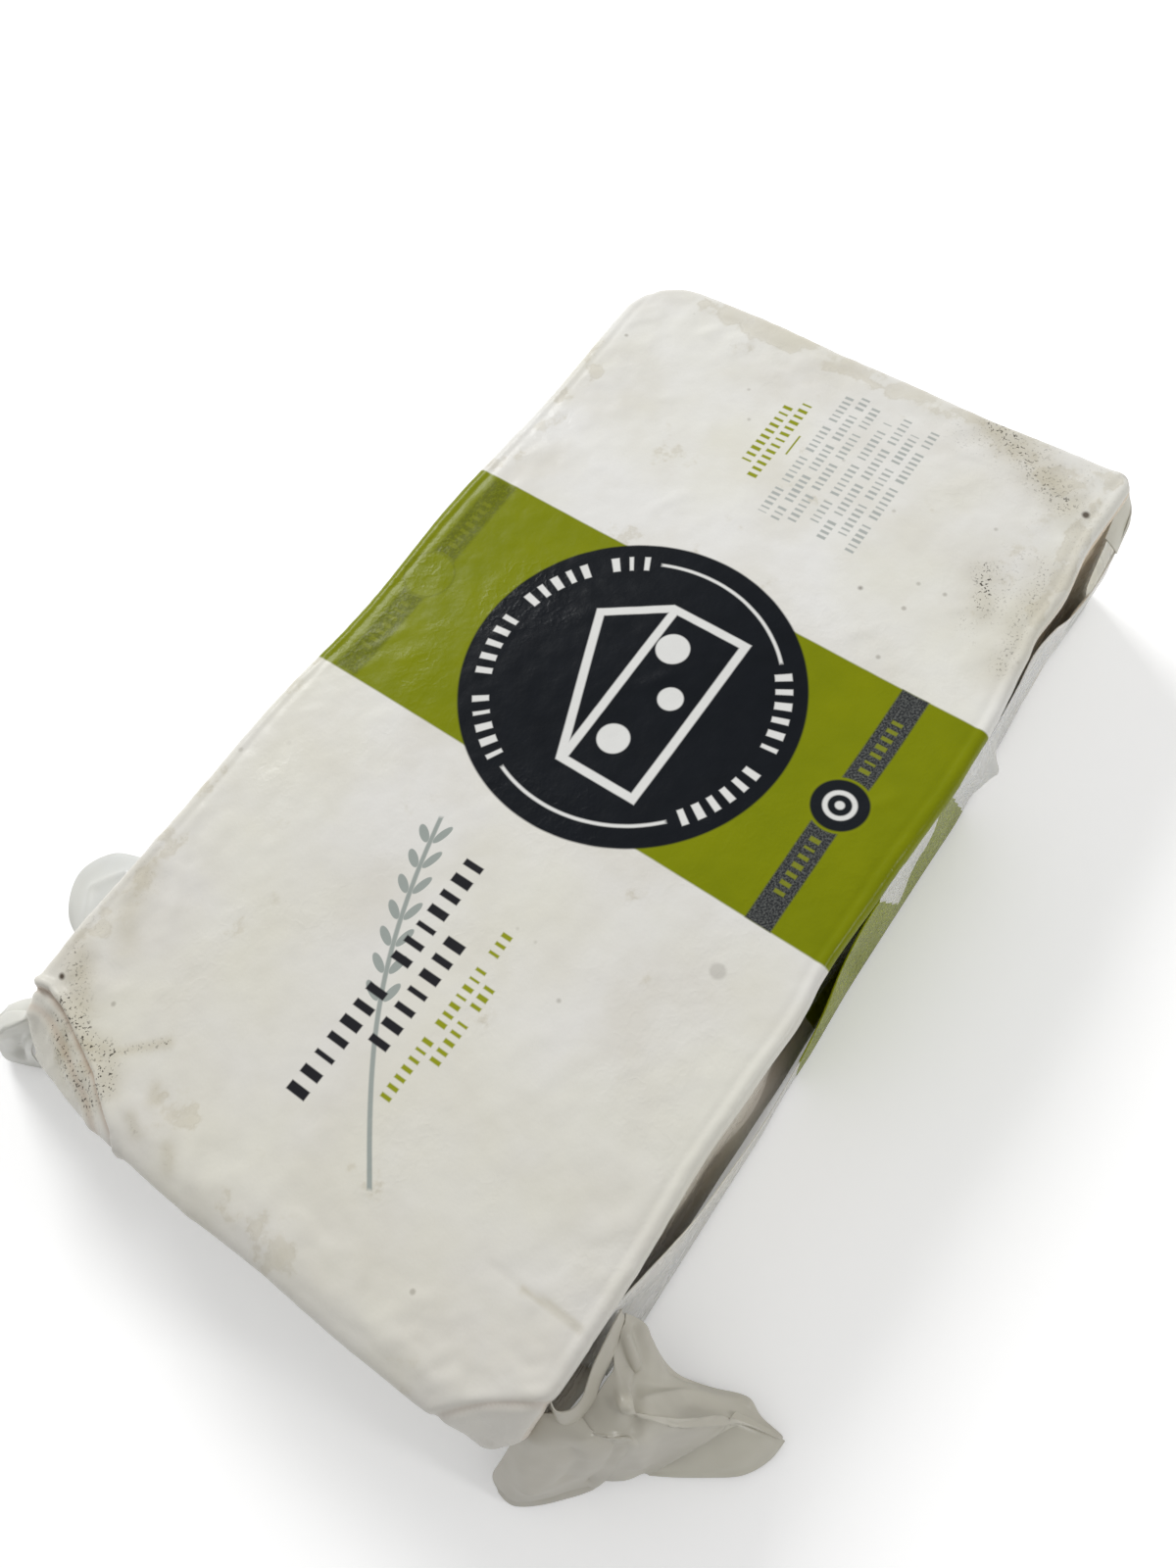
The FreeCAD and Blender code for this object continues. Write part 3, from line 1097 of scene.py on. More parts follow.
class Wire:
    """One output of a shader graph.  Arithmetic on it adds Math nodes."""

    def __init__(self, graph: "Graph", socket: bpy.types.NodeSocket) -> None:
        """Keeps the graph and the socket that carries the value."""
        self.graph = graph
        self.socket = socket

    def __add__(self, other: "Wire | float") -> "Wire":
        """Sum."""
        return self.graph.math("ADD", self, other)

    __radd__ = __add__

    def __sub__(self, other: "Wire | float") -> "Wire":
        """Difference."""
        return self.graph.math("SUBTRACT", self, other)

    def __rsub__(self, other: "Wire | float") -> "Wire":
        """Reflected difference."""
        return self.graph.math("SUBTRACT", other, self)

    def __mul__(self, other: "Wire | float") -> "Wire":
        """Product."""
        return self.graph.math("MULTIPLY", self, other)

    __rmul__ = __mul__

    def __truediv__(self, other: "Wire | float") -> "Wire":
        """Quotient."""
        return self.graph.math("DIVIDE", self, other)

    def __pow__(self, other: "Wire | float") -> "Wire":
        """Power."""
        return self.graph.math("POWER", self, other)

    def __abs__(self) -> "Wire":
        """Absolute value."""
        return self.graph.math("ABSOLUTE", self)

    def __or__(self, other: "Wire | float") -> "Wire":
        """Union of two masks: the larger."""
        return self.graph.math("MAXIMUM", self, other)

    def __and__(self, other: "Wire | float") -> "Wire":
        """Overlap of two masks: the smaller."""
        return self.graph.math("MINIMUM", self, other)

    def below(self, limit: "Wire | float", soft: float) -> "Wire":
        """Mask that is 1 where the value is under the limit, with a soft edge."""
        return self.graph.math("MULTIPLY_ADD", self - limit, -0.5 / soft, 0.5, clamp=True)

    def above(self, limit: "Wire | float", soft: float) -> "Wire":
        """Mask that is 1 where the value is over the limit, with a soft edge."""
        return self.graph.math("MULTIPLY_ADD", self - limit, 0.5 / soft, 0.5, clamp=True)


class Graph:
    """Node tree of one material."""

    def __init__(self, name: str) -> None:
        """Makes an empty material tree.

        Args:
            name: Name of the material.
        """
        self.material = bpy.data.materials.new(name)
        self.material.use_nodes = True
        self.tree = self.material.node_tree
        self.tree.nodes.clear()

    def node(self, kind: str, settings: dict | None = None, inputs: dict | None = None) -> bpy.types.Node:
        """Adds any node.

        Args:
            kind: The node's type.
            settings: Its properties, which are set first.
            inputs: Values or wires of its sockets, by name or number.

        Returns:
            The node.
        """
        made = self.tree.nodes.new(kind)
        for name, value in (settings or {}).items():
            setattr(made, name, value)
        for key, value in (inputs or {}).items():
            if isinstance(value, Wire):
                self.tree.links.new(value.socket, made.inputs[key])
            else:
                made.inputs[key].default_value = value
        return made

    def wire(self, made: bpy.types.Node, output: int | str = 0) -> Wire:
        """One output of a node."""
        return Wire(self, made.outputs[output])

    def math(self, operation: str, *values: "Wire | float", clamp: bool = False) -> Wire:
        """Adds a Math node."""
        settings = {"operation": operation, "use_clamp": clamp}
        return self.wire(self.node("ShaderNodeMath", settings, dict(enumerate(values))))

    def mix(self, factor: "Wire | float", first: "Wire | tuple", second: "Wire | tuple") -> Wire:
        """Mixes two colours."""
        inputs = {0: factor, 6: first, 7: second}
        return self.wire(self.node("ShaderNodeMix", {"data_type": "RGBA"}, inputs), 2)

    def combine(self, x: "Wire | float", y: "Wire | float", z: "Wire | float") -> Wire:
        """Joins three numbers into a vector."""
        return self.wire(self.node("ShaderNodeCombineXYZ", None, {0: x, 1: y, 2: z}))

    def split(self, vector: Wire) -> list[Wire]:
        """The three numbers of a vector."""
        made = self.node("ShaderNodeSeparateXYZ", None, {0: vector})
        return [self.wire(made, k) for k in range(3)]

    def noise(self, vector: Wire, scale: float, detail: float = 3.0, rough: float = 0.55) -> Wire:
        """Smooth noise, about 0 to 1."""
        inputs = {"Vector": vector, "Scale": scale, "Detail": detail, "Roughness": rough}
        return self.wire(self.node("ShaderNodeTexNoise", None, inputs))

    def chance(self, number: Wire) -> Wire:
        """Random number from 0 to 1 for each value of the number."""
        made = self.node("ShaderNodeTexWhiteNoise", {"noise_dimensions": "1D"}, {"W": number})
        return self.wire(made)


def colour(red: int, green: int, blue: int) -> tuple[float, float, float, float]:
    """Linear colour of an sRGB colour given from 0 to 255.

    Args:
        red: Red part.
        green: Green part.
        blue: Blue part.

    Returns:
        Red, green, blue and an alpha of 1.
    """
    parts = [part / 255.0 for part in (red, green, blue)]
    linear = [p / 12.92 if p <= 0.04045 else ((p + 0.055) / 1.055) ** 2.4 for p in parts]
    return (*linear, 1.0)


# ---------------------------------------------------------------- the print

@dataclass(frozen=True)
class Blocks:
    """Rows of plain upright blocks of uneven width, in place of lettering.

    Lengths are in radii of the round print, from its centre.

    Attributes:
        middle: Middle of the rows, across.
        top: Middle of the first row, up.
        half: Half the length of the longest row.
        tall: Height of a block.
        pitch: Distance between blocks.
        rows: Number of rows.
        drop: Distance between rows.
        spread: How much shorter a row may be, as a share.
        word: Blocks in a group, with the empty one after it.
        seed: Picks the widths.
    """

    middle: float
    top: float
    half: float
    tall: float
    pitch: float
    rows: int = 1
    drop: float = 1.0
    spread: float = 0.0
    word: float = 8.0
    seed: float = 0.0

    def mask(self, graph: Graph, across: Wire, up: Wire) -> Wire:
        """Mask of the blocks: the row's band, its length, its groups and its blocks.

        Args:
            graph: The material's nodes.
            across: Distance to the right of the print's centre.
            up: Distance above it.

        Returns:
            1 on a block, 0 off it.
        """
        soft = 0.004
        row = graph.math("ROUND", (self.top - up) / self.drop)
        row = graph.math("MINIMUM", graph.math("MAXIMUM", row, 0.0), self.rows - 1.0)
        band = abs(self.top - up - row * self.drop).below(self.tall / 2.0, soft)
        luck = graph.chance(row + self.seed)
        row_mask = abs(across - self.middle).below(self.half * (1.0 - self.spread * luck), soft)
        count = (across - self.middle + self.half) / self.pitch
        cell = graph.math("FLOOR", count)
        group = graph.math("FRACT", (cell + row * 3.0 + 0.5) / self.word).below(1.0 - 1.0 / self.word, 0.01)
        wide = 0.13 + 0.14 * graph.chance(cell + row * 57.0 + self.seed)
        block = abs(graph.math("FRACT", count) - 0.5).below(wide, soft / self.pitch)
        return band & row_mask & group & block


@dataclass(frozen=True)
class PackPrint:
    """The printed design: plain fields of colour and simple shapes.

    Attributes:
        radius: Radius of the big disc, the unit of the other sizes.
        centre: Its centre.
        band: Half the width of the green band.
        stripe: Distance of the stripe below the centre, and half its width.
        faint: Distance above the centre of the stripe that was printed over, and half its width.
        rim: Radius of the ring of dashes and arcs.
        near_words: Middle of the rows of blocks on the near half, across.
        far_words: Middle of the rows of blocks on the far half, across.
        badge: Radius of the small disc on the stripe.
        green: Colour of the ring about the badge.
        dark: Colour of the badge.
        white: Colour of the marks on the discs.
        grey: Colour of the smallest rows of blocks.
        ink: Colour of the largest rows of blocks.
    """

    radius: float = 56.16 * MM
    centre: tuple = (21.6 * MM, 2.1 * MM)
    band: float = 0.811
    stripe: tuple = (1.3545, 0.0785)
    faint: tuple = (1.49, 0.078)
    rim: float = 0.865
    near_words: float = -2.09
    far_words: float = 1.986
    badge: float = 0.157
    green: tuple = colour(128, 136, 2)
    dark: tuple = colour(24, 28, 33)
    white: tuple = colour(226, 226, 223)
    grey: tuple = colour(176, 180, 176)
    ink: tuple = colour(34, 34, 38)

    def paint(self, graph: Graph, film: tuple[Wire, Wire, Wire], ground: Wire) -> Wire:
        """Lays the print over the film's own colour.

        Args:
            graph: The material's nodes.
            film: Coordinates on the film.
            ground: Colour of the bare film.

        Returns:
            The printed colour.
        """
        x, y, z = film
        across = (x - self.centre[0]) / self.radius
        up = (y - self.centre[1]) / self.radius
        top = z.above(61 * MM, 1 * MM)
        vector = graph.combine(x, y, z)
        shade = graph.mix(graph.noise(vector, 60.0, 4.0), colour(117, 127, 0), colour(134, 141, 0))
        band = abs(across).below(self.band, 0.006)
        painted = graph.mix(band, ground, shade)
        painted = self.faint_stripe(graph, vector, across, up, top & band, painted)
        painted = self.lower_stripe(graph, vector, across, up, top & band, painted)
        painted = self.round_print(graph, vector, across, up, top, painted)
        return self.side_print(graph, across, up, top, painted)

    def stripe_words(self, graph: Graph, across: Wire, up: Wire, middle: float) -> Wire:
        """Two short runs of blocks on a stripe, one each side of its badge."""
        return Blocks(0.425, middle, 0.205, 0.062, 0.0586, word=90.0, seed=3.0).mask(graph, abs(across), up)

    def lower_stripe(self, graph: Graph, vector: Wire, across: Wire, up: Wire,
                     where: Wire, ground: Wire) -> Wire:
        """Dark speckled stripe with a small disc and a plain ring.

        Args:
            graph: The material's nodes.
            vector: Place on the film.
            across: Distance to the right of the print's centre.
            up: Distance above it.
            where: Mask of the top's band.
            ground: Colour under the stripe.

        Returns:
            The colour with this part of the print on it.
        """
        level, half = self.stripe
        grain = graph.noise(vector, 1500.0, 2.0, 0.7).above(0.52, 0.08)
        tone = graph.mix(grain, colour(44, 46, 48), colour(92, 94, 92))
        field = abs(up + level).below(half, 0.006) & where
        painted = graph.mix(field, ground, tone)
        words = self.stripe_words(graph, across, up, -level) & field
        painted = graph.mix(words * 0.85, painted, colour(134, 140, 30))
        far = graph.math("SQRT", across * across + (up + level) ** 2.0)
        painted = graph.mix(far.below(self.badge + 0.016, 0.006) & where, painted, self.green)
        painted = graph.mix(far.below(self.badge, 0.006) & where, painted, self.dark)
        ring = abs(far - 0.078).below(0.014, 0.005) | far.below(0.026, 0.005)
        return graph.mix(ring & where, painted, self.white)

    def faint_stripe(self, graph: Graph, vector: Wire, across: Wire, up: Wire,
                     where: Wire, ground: Wire) -> Wire:
        """Olive stripe that was printed over, near the back edge.

        Args:
            graph: The material's nodes.
            vector: Place on the film.
            across: Distance to the right of the print's centre.
            up: Distance above it.
            where: Mask of the top's band.
            ground: Colour under the stripe.

        Returns:
            The colour with this part of the print on it.
        """
        level, half = self.faint
        grain = graph.noise(vector, 1300.0, 2.0, 0.75).above(0.44, 0.1)
        far = graph.math("SQRT", across * across + (up - level) ** 2.0)
        field = abs(up - level).below(half, 0.012) & where & far.above(0.17, 0.008)
        field = field * abs(across).below(0.80, 0.02) * (0.35 + 0.65 * grain)
        olive = colour(74, 80, 12)
        painted = graph.mix(field * 0.62, ground, olive)
        words = self.stripe_words(graph, across, up, level) & where
        painted = graph.mix(words * 0.55, painted, colour(130, 136, 20))
        ring = abs(far - 0.160).below(0.005, 0.006) & where
        return graph.mix(ring * 0.3, painted, olive)

    def round_print(self, graph: Graph, vector: Wire, across: Wire, up: Wire,
                    where: Wire, ground: Wire) -> Wire:
        """Dark disc with two arcs, rings of dashes and a plain wedge of cheese.

        Args:
            graph: The material's nodes.
            vector: Place on the film.
            across: Distance to the right of the print's centre.
            up: Distance above it.
            where: Mask of the top.
            ground: Colour under the disc.

        Returns:
            The colour with this part of the print on it.
        """
        far = graph.math("SQRT", across * across + up * up)
        mottle = graph.noise(vector, 90.0, 4.0)
        tone = graph.mix(mottle, colour(11, 15, 20), colour(21, 25, 31))
        painted = graph.mix(far.below(1.0, 0.006) & where, ground, tone)
        mirror = graph.math("ARCTAN2", up, abs(across))
        arcs = abs(mirror + 0.218).below(0.602, 0.012) & abs(far - self.rim).below(0.010, 0.005)
        upper = graph.math("ARCTAN2", across, up) * self.rim
        lower = graph.math("ARCTAN2", across, 0.0 - up) * self.rim
        ring = far - self.rim
        above = Blocks(0.0, 0.0, 0.98, 0.098, 0.0935, word=6.0, seed=1.0)
        under = Blocks(0.0, 0.0, 0.60, 0.098, 0.0925, word=7.0, seed=5.0)
        marks = arcs | above.mask(graph, upper, ring) | under.mask(graph, lower, ring)
        marks = marks | self.wedge(graph, across, up)
        return graph.mix(marks & where, painted, self.white)

    def wedge(self, graph: Graph, across: Wire, up: Wire) -> Wire:
        """Plain wedge of cheese, in outline: a slanted top, a front and three holes.

        Each outline is the band where the distance inside the shape, the
        largest of its distances from its sides, is under a line's width.

        Args:
            graph: The material's nodes.
            across: Distance to the right of the print's centre.
            up: Distance above it.

        Returns:
            1 on a line or a hole, 0 off it.
        """
        line, soft = 0.026, 0.005
        left = (up - 0.10 - (across + 0.60) * 0.40) / 1.077
        right = (up - 0.10 - (0.60 - across) * 1.45) / 1.761
        roof = (0.10 - line * 2.0 - up) | left | right
        front = (abs(across) - 0.60) | (abs(up + 0.165) - 0.265)
        drawn = abs(roof + line).below(line, soft) | abs(front + line).below(line, soft)
        for place, level, size in ((-0.32, -0.10, 0.095), (0.06, -0.23, 0.075), (0.34, -0.06, 0.10)):
            far = graph.math("SQRT", (across - place) ** 2.0 + (up - level) ** 2.0)
            drawn = drawn | far.below(size, soft)
        return drawn & abs(across).below(0.60, soft)

    def side_print(self, graph: Graph, across: Wire, up: Wire, where: Wire, ground: Wire) -> Wire:
        """Bars of different weights either side of the band, and a stalk.

        Args:
            graph: The material's nodes.
            across: Distance to the right of the print's centre.
            up: Distance above it.
            where: Mask of the top.
            ground: Colour under the print.

        Returns:
            The colour with this part of the print on it.
        """
        painted = graph.mix(self.stalk(graph, across, up) & where, ground, colour(158, 165, 160))
        title = Blocks(self.near_words, 0.088, 0.78, 0.118, 0.1035, word=8.0, seed=2.0)
        title_low = Blocks(self.near_words, -0.098, 0.36, 0.118, 0.1035, word=90.0, seed=9.0)
        black = title.mask(graph, across, up) | title_low.mask(graph, across, up)
        painted = graph.mix(black & where, painted, self.ink)
        near_one = Blocks(self.near_words, -0.303, 0.53, 0.062, 0.0558, word=8.0, seed=7.0)
        near_two = Blocks(self.near_words, -0.398, 0.25, 0.062, 0.0558, word=6.0, seed=8.0)
        far_one = Blocks(self.far_words, 0.324, 0.27, 0.064, 0.054, word=90.0, seed=4.0)
        far_two = Blocks(self.far_words, 0.229, 0.355, 0.064, 0.054, word=90.0, seed=6.0)
        green = None
        for blocks in (near_one, near_two, far_one, far_two):
            drawn = blocks.mask(graph, across, up)
            green = drawn if green is None else green | drawn
        dash = abs(across - self.far_words).below(0.085, 0.005) & abs(up - 0.138).below(0.006, 0.003)
        painted = graph.mix((green | dash) & where, painted, colour(146, 152, 30))
        upper = Blocks(self.far_words, 0.029, 0.56, 0.056, 0.040, 3, 0.0935, 0.10, 7.0, 11.0)
        lower = Blocks(self.far_words, -0.276, 0.54, 0.056, 0.040, 4, 0.0955, 0.22, 8.0, 17.0)
        text = upper.mask(graph, across, up) | lower.mask(graph, across, up)
        return graph.mix(text & where, painted, self.grey)

    def stalk(self, graph: Graph, across: Wire, up: Wire) -> Wire:
        """Plain stalk of grass: a bowed stem with pairs of slanted seeds.

        Seen along the stem, each seed is an ellipse turned by 35 degrees.

        Args:
            graph: The material's nodes.
            across: Distance to the right of the print's centre.
            up: Distance above it.

        Returns:
            1 on the stalk, 0 off it.
        """
        turn = math.radians(27.0)
        run = (across + 2.98) * math.cos(turn) + (up + 0.52) * math.sin(turn)
        off = (up + 0.52) * math.cos(turn) - (across + 2.98) * math.sin(turn)
        off = off - 0.16 * graph.math("SINE", run * 1.45)
        stem = abs(off).below(0.013, 0.004) & abs(run - 0.99).below(0.99, 0.01)
        cell = graph.math("FRACT", run / 0.15) - 0.5
        side = abs(off) - 0.052
        tilt = math.radians(35.0)
        long_way = cell * 0.15 * math.cos(tilt) + side * math.sin(tilt)
        short_way = side * math.cos(tilt) - cell * 0.15 * math.sin(tilt)
        seed = (long_way / 0.062) ** 2.0 + (short_way / 0.024) ** 2.0
        seeds = seed.below(1.0, 0.12) & abs(run - 1.425).below(0.5245, 0.001)
        return stem | seeds


# ---------------------------------------------------------------- finishes

@dataclass(frozen=True)
class Stain:
    """Beige bloom and dark specks in one place on the film, sizes in mm.

    Attributes:
        x: Place of its middle, along the block.
        y: Place of its middle, across the block.
        reach_x: How far it spreads along the block.
        reach_y: How far it spreads across the block.
        tint: How strong the bloom is, 0 to 1.
        specks: How dense the specks are, 0 to 1.
    """

    x: float
    y: float
    reach_x: float
    reach_y: float
    tint: float
    specks: float = 0.0


STAINS = (
    Stain(-166, 76, 10, 22, 0.50, 0.15),
    Stain(-130, 92, 34, 7, 0.60, 0.15),
    Stain(-60, 95, 60, 5, 0.50, 0.0),
    Stain(-164, 24, 12, 24, 0.30, 0.0),
    Stain(-176, -20, 7, 60, 0.30, 0.0),
    Stain(170, -60, 12, 30, 0.60, 0.35),
    Stain(120, -78, 26, 8, 0.45, 0.40),
    Stain(140, -93, 50, 5, 0.55, 0.15),
    Stain(175, 20, 7, 80, 0.72, 0.0),
    Stain(120, 92, 60, 7, 0.45, 0.0),
    Stain(90, 40, 30, 40, 0.16, 0.0),
)


@dataclass(frozen=True)
class Spot:
    """Single round mark on the film: its place and radius in mm, and its strength."""

    x: float
    y: float
    radius: float
    strength: float


SPOTS = (
    Spot(157.0, -91.0, 1.3, 0.9),
    Spot(-42.0, -71.5, 2.4, 0.22),
    Spot(-153.5, 91.0, 1.0, 0.95),
    Spot(93.0, -40.0, 0.7, 0.6),
)


class FilmKind(Enum):
    """Looks of the film: tight or loose and printed; loose, darker and warmer, partly painted shade; loose
    and pale.
    """

    TIGHT = "tight_film"
    PLEAT = "pleat_film"
    LOOSE = "loose_film"
    PALE = "pale_film"


@dataclass(frozen=True)
class FilmFinish:
    """Satin opaque film.

    Attributes:
        kind: Whether it is tight over the cheese or loose.
        bare: Its own colour.
        dull: The colour that it tends to in patches.
        roughness: Mean roughness.
        gloss: Strength of its sheen.
        printed: Whether it carries the print.
        through: How much light passes through it, 0 to 1.
    """

    kind: FilmKind
    bare: tuple = colour(233, 232, 228)
    dull: tuple = colour(222, 219, 210)
    roughness: float = 0.27
    gloss: float = 0.12
    printed: bool = True
    through: float = 0.0

    def make(self) -> bpy.types.Material:
        """Builds the material.

        Returns:
            The material.
        """
        graph = Graph(self.kind.value)
        place = graph.wire(graph.node("ShaderNodeTexCoord"), "Object")
        flat = graph.wire(graph.node("ShaderNodeAttribute", {"attribute_name": "film_place"}), "Vector")
        film = tuple(graph.split(flat))
        patches = graph.noise(place, 28.0, 4.0).above(0.56, 0.16)
        ground = graph.mix(patches, self.bare, self.dull)
        # Painted shade: the film turns darker and warmer towards the near end, standing in for light that
        # falls off there.
        near = film[0].below(-95 * MM, 130 * MM)
        ground = graph.mix(near * 0.55, ground, colour(204, 199, 188))
        # Partly painted shade: a warm, darker tint on the film in the gutter behind the pleat, browner
        # towards the far end, for the shaded recess as well as the yellowish film there.
        gutter = film[1].below(GUTTER_SIDE, 0.2 * MM) & graph.split(place)[1].above(-96.5 * MM, 1.5 * MM)
        brown = film[0].above(120 * MM, 12 * MM)
        ground = graph.mix(gutter * (0.26 + 0.54 * brown), ground, colour(208, 174, 130))
        ground = self.soil(graph, place, film, ground)
        if self.printed:
            ground = PackPrint().paint(graph, film, ground)
        rough = self.roughness + 0.12 * (graph.noise(place, 140.0, 3.0) - 0.5)
        shader = graph.node("ShaderNodeBsdfPrincipled", None, {
            "Base Color": ground,
            "Roughness": rough,
            "IOR": 1.49,
            "Specular IOR Level": self.gloss,
            "Subsurface Weight": self.through,
            "Subsurface Radius": (1.0, 0.94, 0.84),
            "Subsurface Scale": 2.0 * MM,
            "Normal": self.bumps(graph, place, film),
        })
        graph.node("ShaderNodeOutputMaterial", None, {"Surface": graph.wire(shader)})
        return graph.material

    def soil(self, graph: Graph, place: Wire, film: tuple, ground: Wire) -> Wire:
        """Adds beige stains with tide lines, dark specks, small grey marks and painted shade along the
        corner creases.

        Args:
            graph: The material's nodes.
            place: Place on the piece.
            film: Coordinates on the film.
            ground: Colour of the clean film.

        Returns:
            The soiled colour.
        """
        x, y, z = film
        tint, dots = None, None
        for stain in STAINS:
            across = (x - stain.x * MM) / (stain.reach_x * MM)
            up = (y - stain.y * MM) / (stain.reach_y * MM)
            glow = (across * across + up * up).below(0.9, 0.7)
            tinted, dotted = glow * stain.tint, glow * stain.specks
            tint = tinted if tint is None else tint | tinted
            dots = dotted if dots is None else dots | dotted
        high = z.above(48 * MM, 8 * MM)
        tide = graph.noise(place, 50.0, 5.0, 0.60) + tint * 0.36
        inside = tide.above(0.71, 0.055) * high
        film_tint = graph.noise(place, 17.0, 3.0).above(0.52, 0.12)
        uneven = graph.noise(place, 90.0, 4.0, 0.6).above(0.45, 0.25)
        rim = (1.0 - abs(tide - 0.715) / 0.030).above(0.5, 0.5) * high * uneven
        painted = graph.mix(film_tint * 0.35, ground, colour(226, 224, 204))
        painted = graph.mix(inside * 0.30, painted, colour(192, 182, 152))
        painted = graph.mix(rim * 0.24, painted, colour(160, 148, 118))
        crease_shade_and_dirt = graph.wire(graph.node("ShaderNodeAttribute", {"attribute_name": "crease_shade_and_dirt"}), "Vector")
        line, trail, bloom = graph.split(crease_shade_and_dirt)
        painted = graph.mix(bloom * (0.28 + 0.50 * uneven), painted, colour(186, 178, 154))
        # Painted shade: a reddish-brown line along the creases of the near corners.
        painted = graph.mix(line * 0.55, painted, colour(168, 132, 104))
        for spot in SPOTS:
            far = graph.math("SQRT", (x - spot.x * MM) ** 2.0 + (y - spot.y * MM) ** 2.0)
            mark = far.below(spot.radius * MM, 0.5 * MM) * high
            painted = graph.mix(mark * spot.strength, painted, colour(74, 62, 50))
        grain = graph.noise(place, 1050.0, 2.0, 0.65)
        clump = graph.noise(place, 110.0, 2.0).above(0.47, 0.10)
        strewn = grain.above(0.615, 0.02) * clump * dots
        trailed = grain.above(0.605, 0.015) * trail.above(0.25, 0.25)
        speck = (strewn | trailed) * high
        painted = graph.mix(speck * 0.9, painted, colour(52, 46, 38))
        cells = graph.node("ShaderNodeTexVoronoi", None, {"Vector": place, "Scale": 95.0})
        lot = graph.split(graph.wire(cells, "Color"))[0]
        pock = graph.wire(cells, "Distance").below(0.075, 0.03) * lot.above(0.84, 0.01) * high
        return graph.mix(pock * 0.45, painted, colour(128, 122, 108))

    def bumps(self, graph: Graph, place: Wire, film: tuple) -> Wire:
        """Soft dents, a fine grain, and clusters of crisp little crinkles.

        Args:
            graph: The material's nodes.
            place: Place on the piece.
            film: Coordinates on the film.

        Returns:
            The bent normal.
        """
        dimple = graph.noise(place, 120.0, 3.0, 0.5)
        crisp = graph.noise(place, 620.0, 2.0, 0.6)
        fold = abs(graph.noise(place, 210.0, 2.0, 0.55) - 0.5)
        cluster = graph.noise(place, 24.0, 2.0).above(0.53, 0.05)
        tight = film[2].above(62 * MM, 3 * MM) & film[1].above(GUTTER_SIDE, 0.5 * MM)
        crinkle = (1.0 - fold * 9.0).above(0.5, 0.5) * cluster
        height = dimple * (0.04 + 0.76 * tight) + (crisp * 0.10 + crinkle * 0.14) * tight
        inputs = {"Strength": 0.5, "Distance": 0.6 * MM, "Height": height}
        return graph.wire(graph.node("ShaderNodeBump", None, inputs))


# ---------------------------------------------------------------- the studio

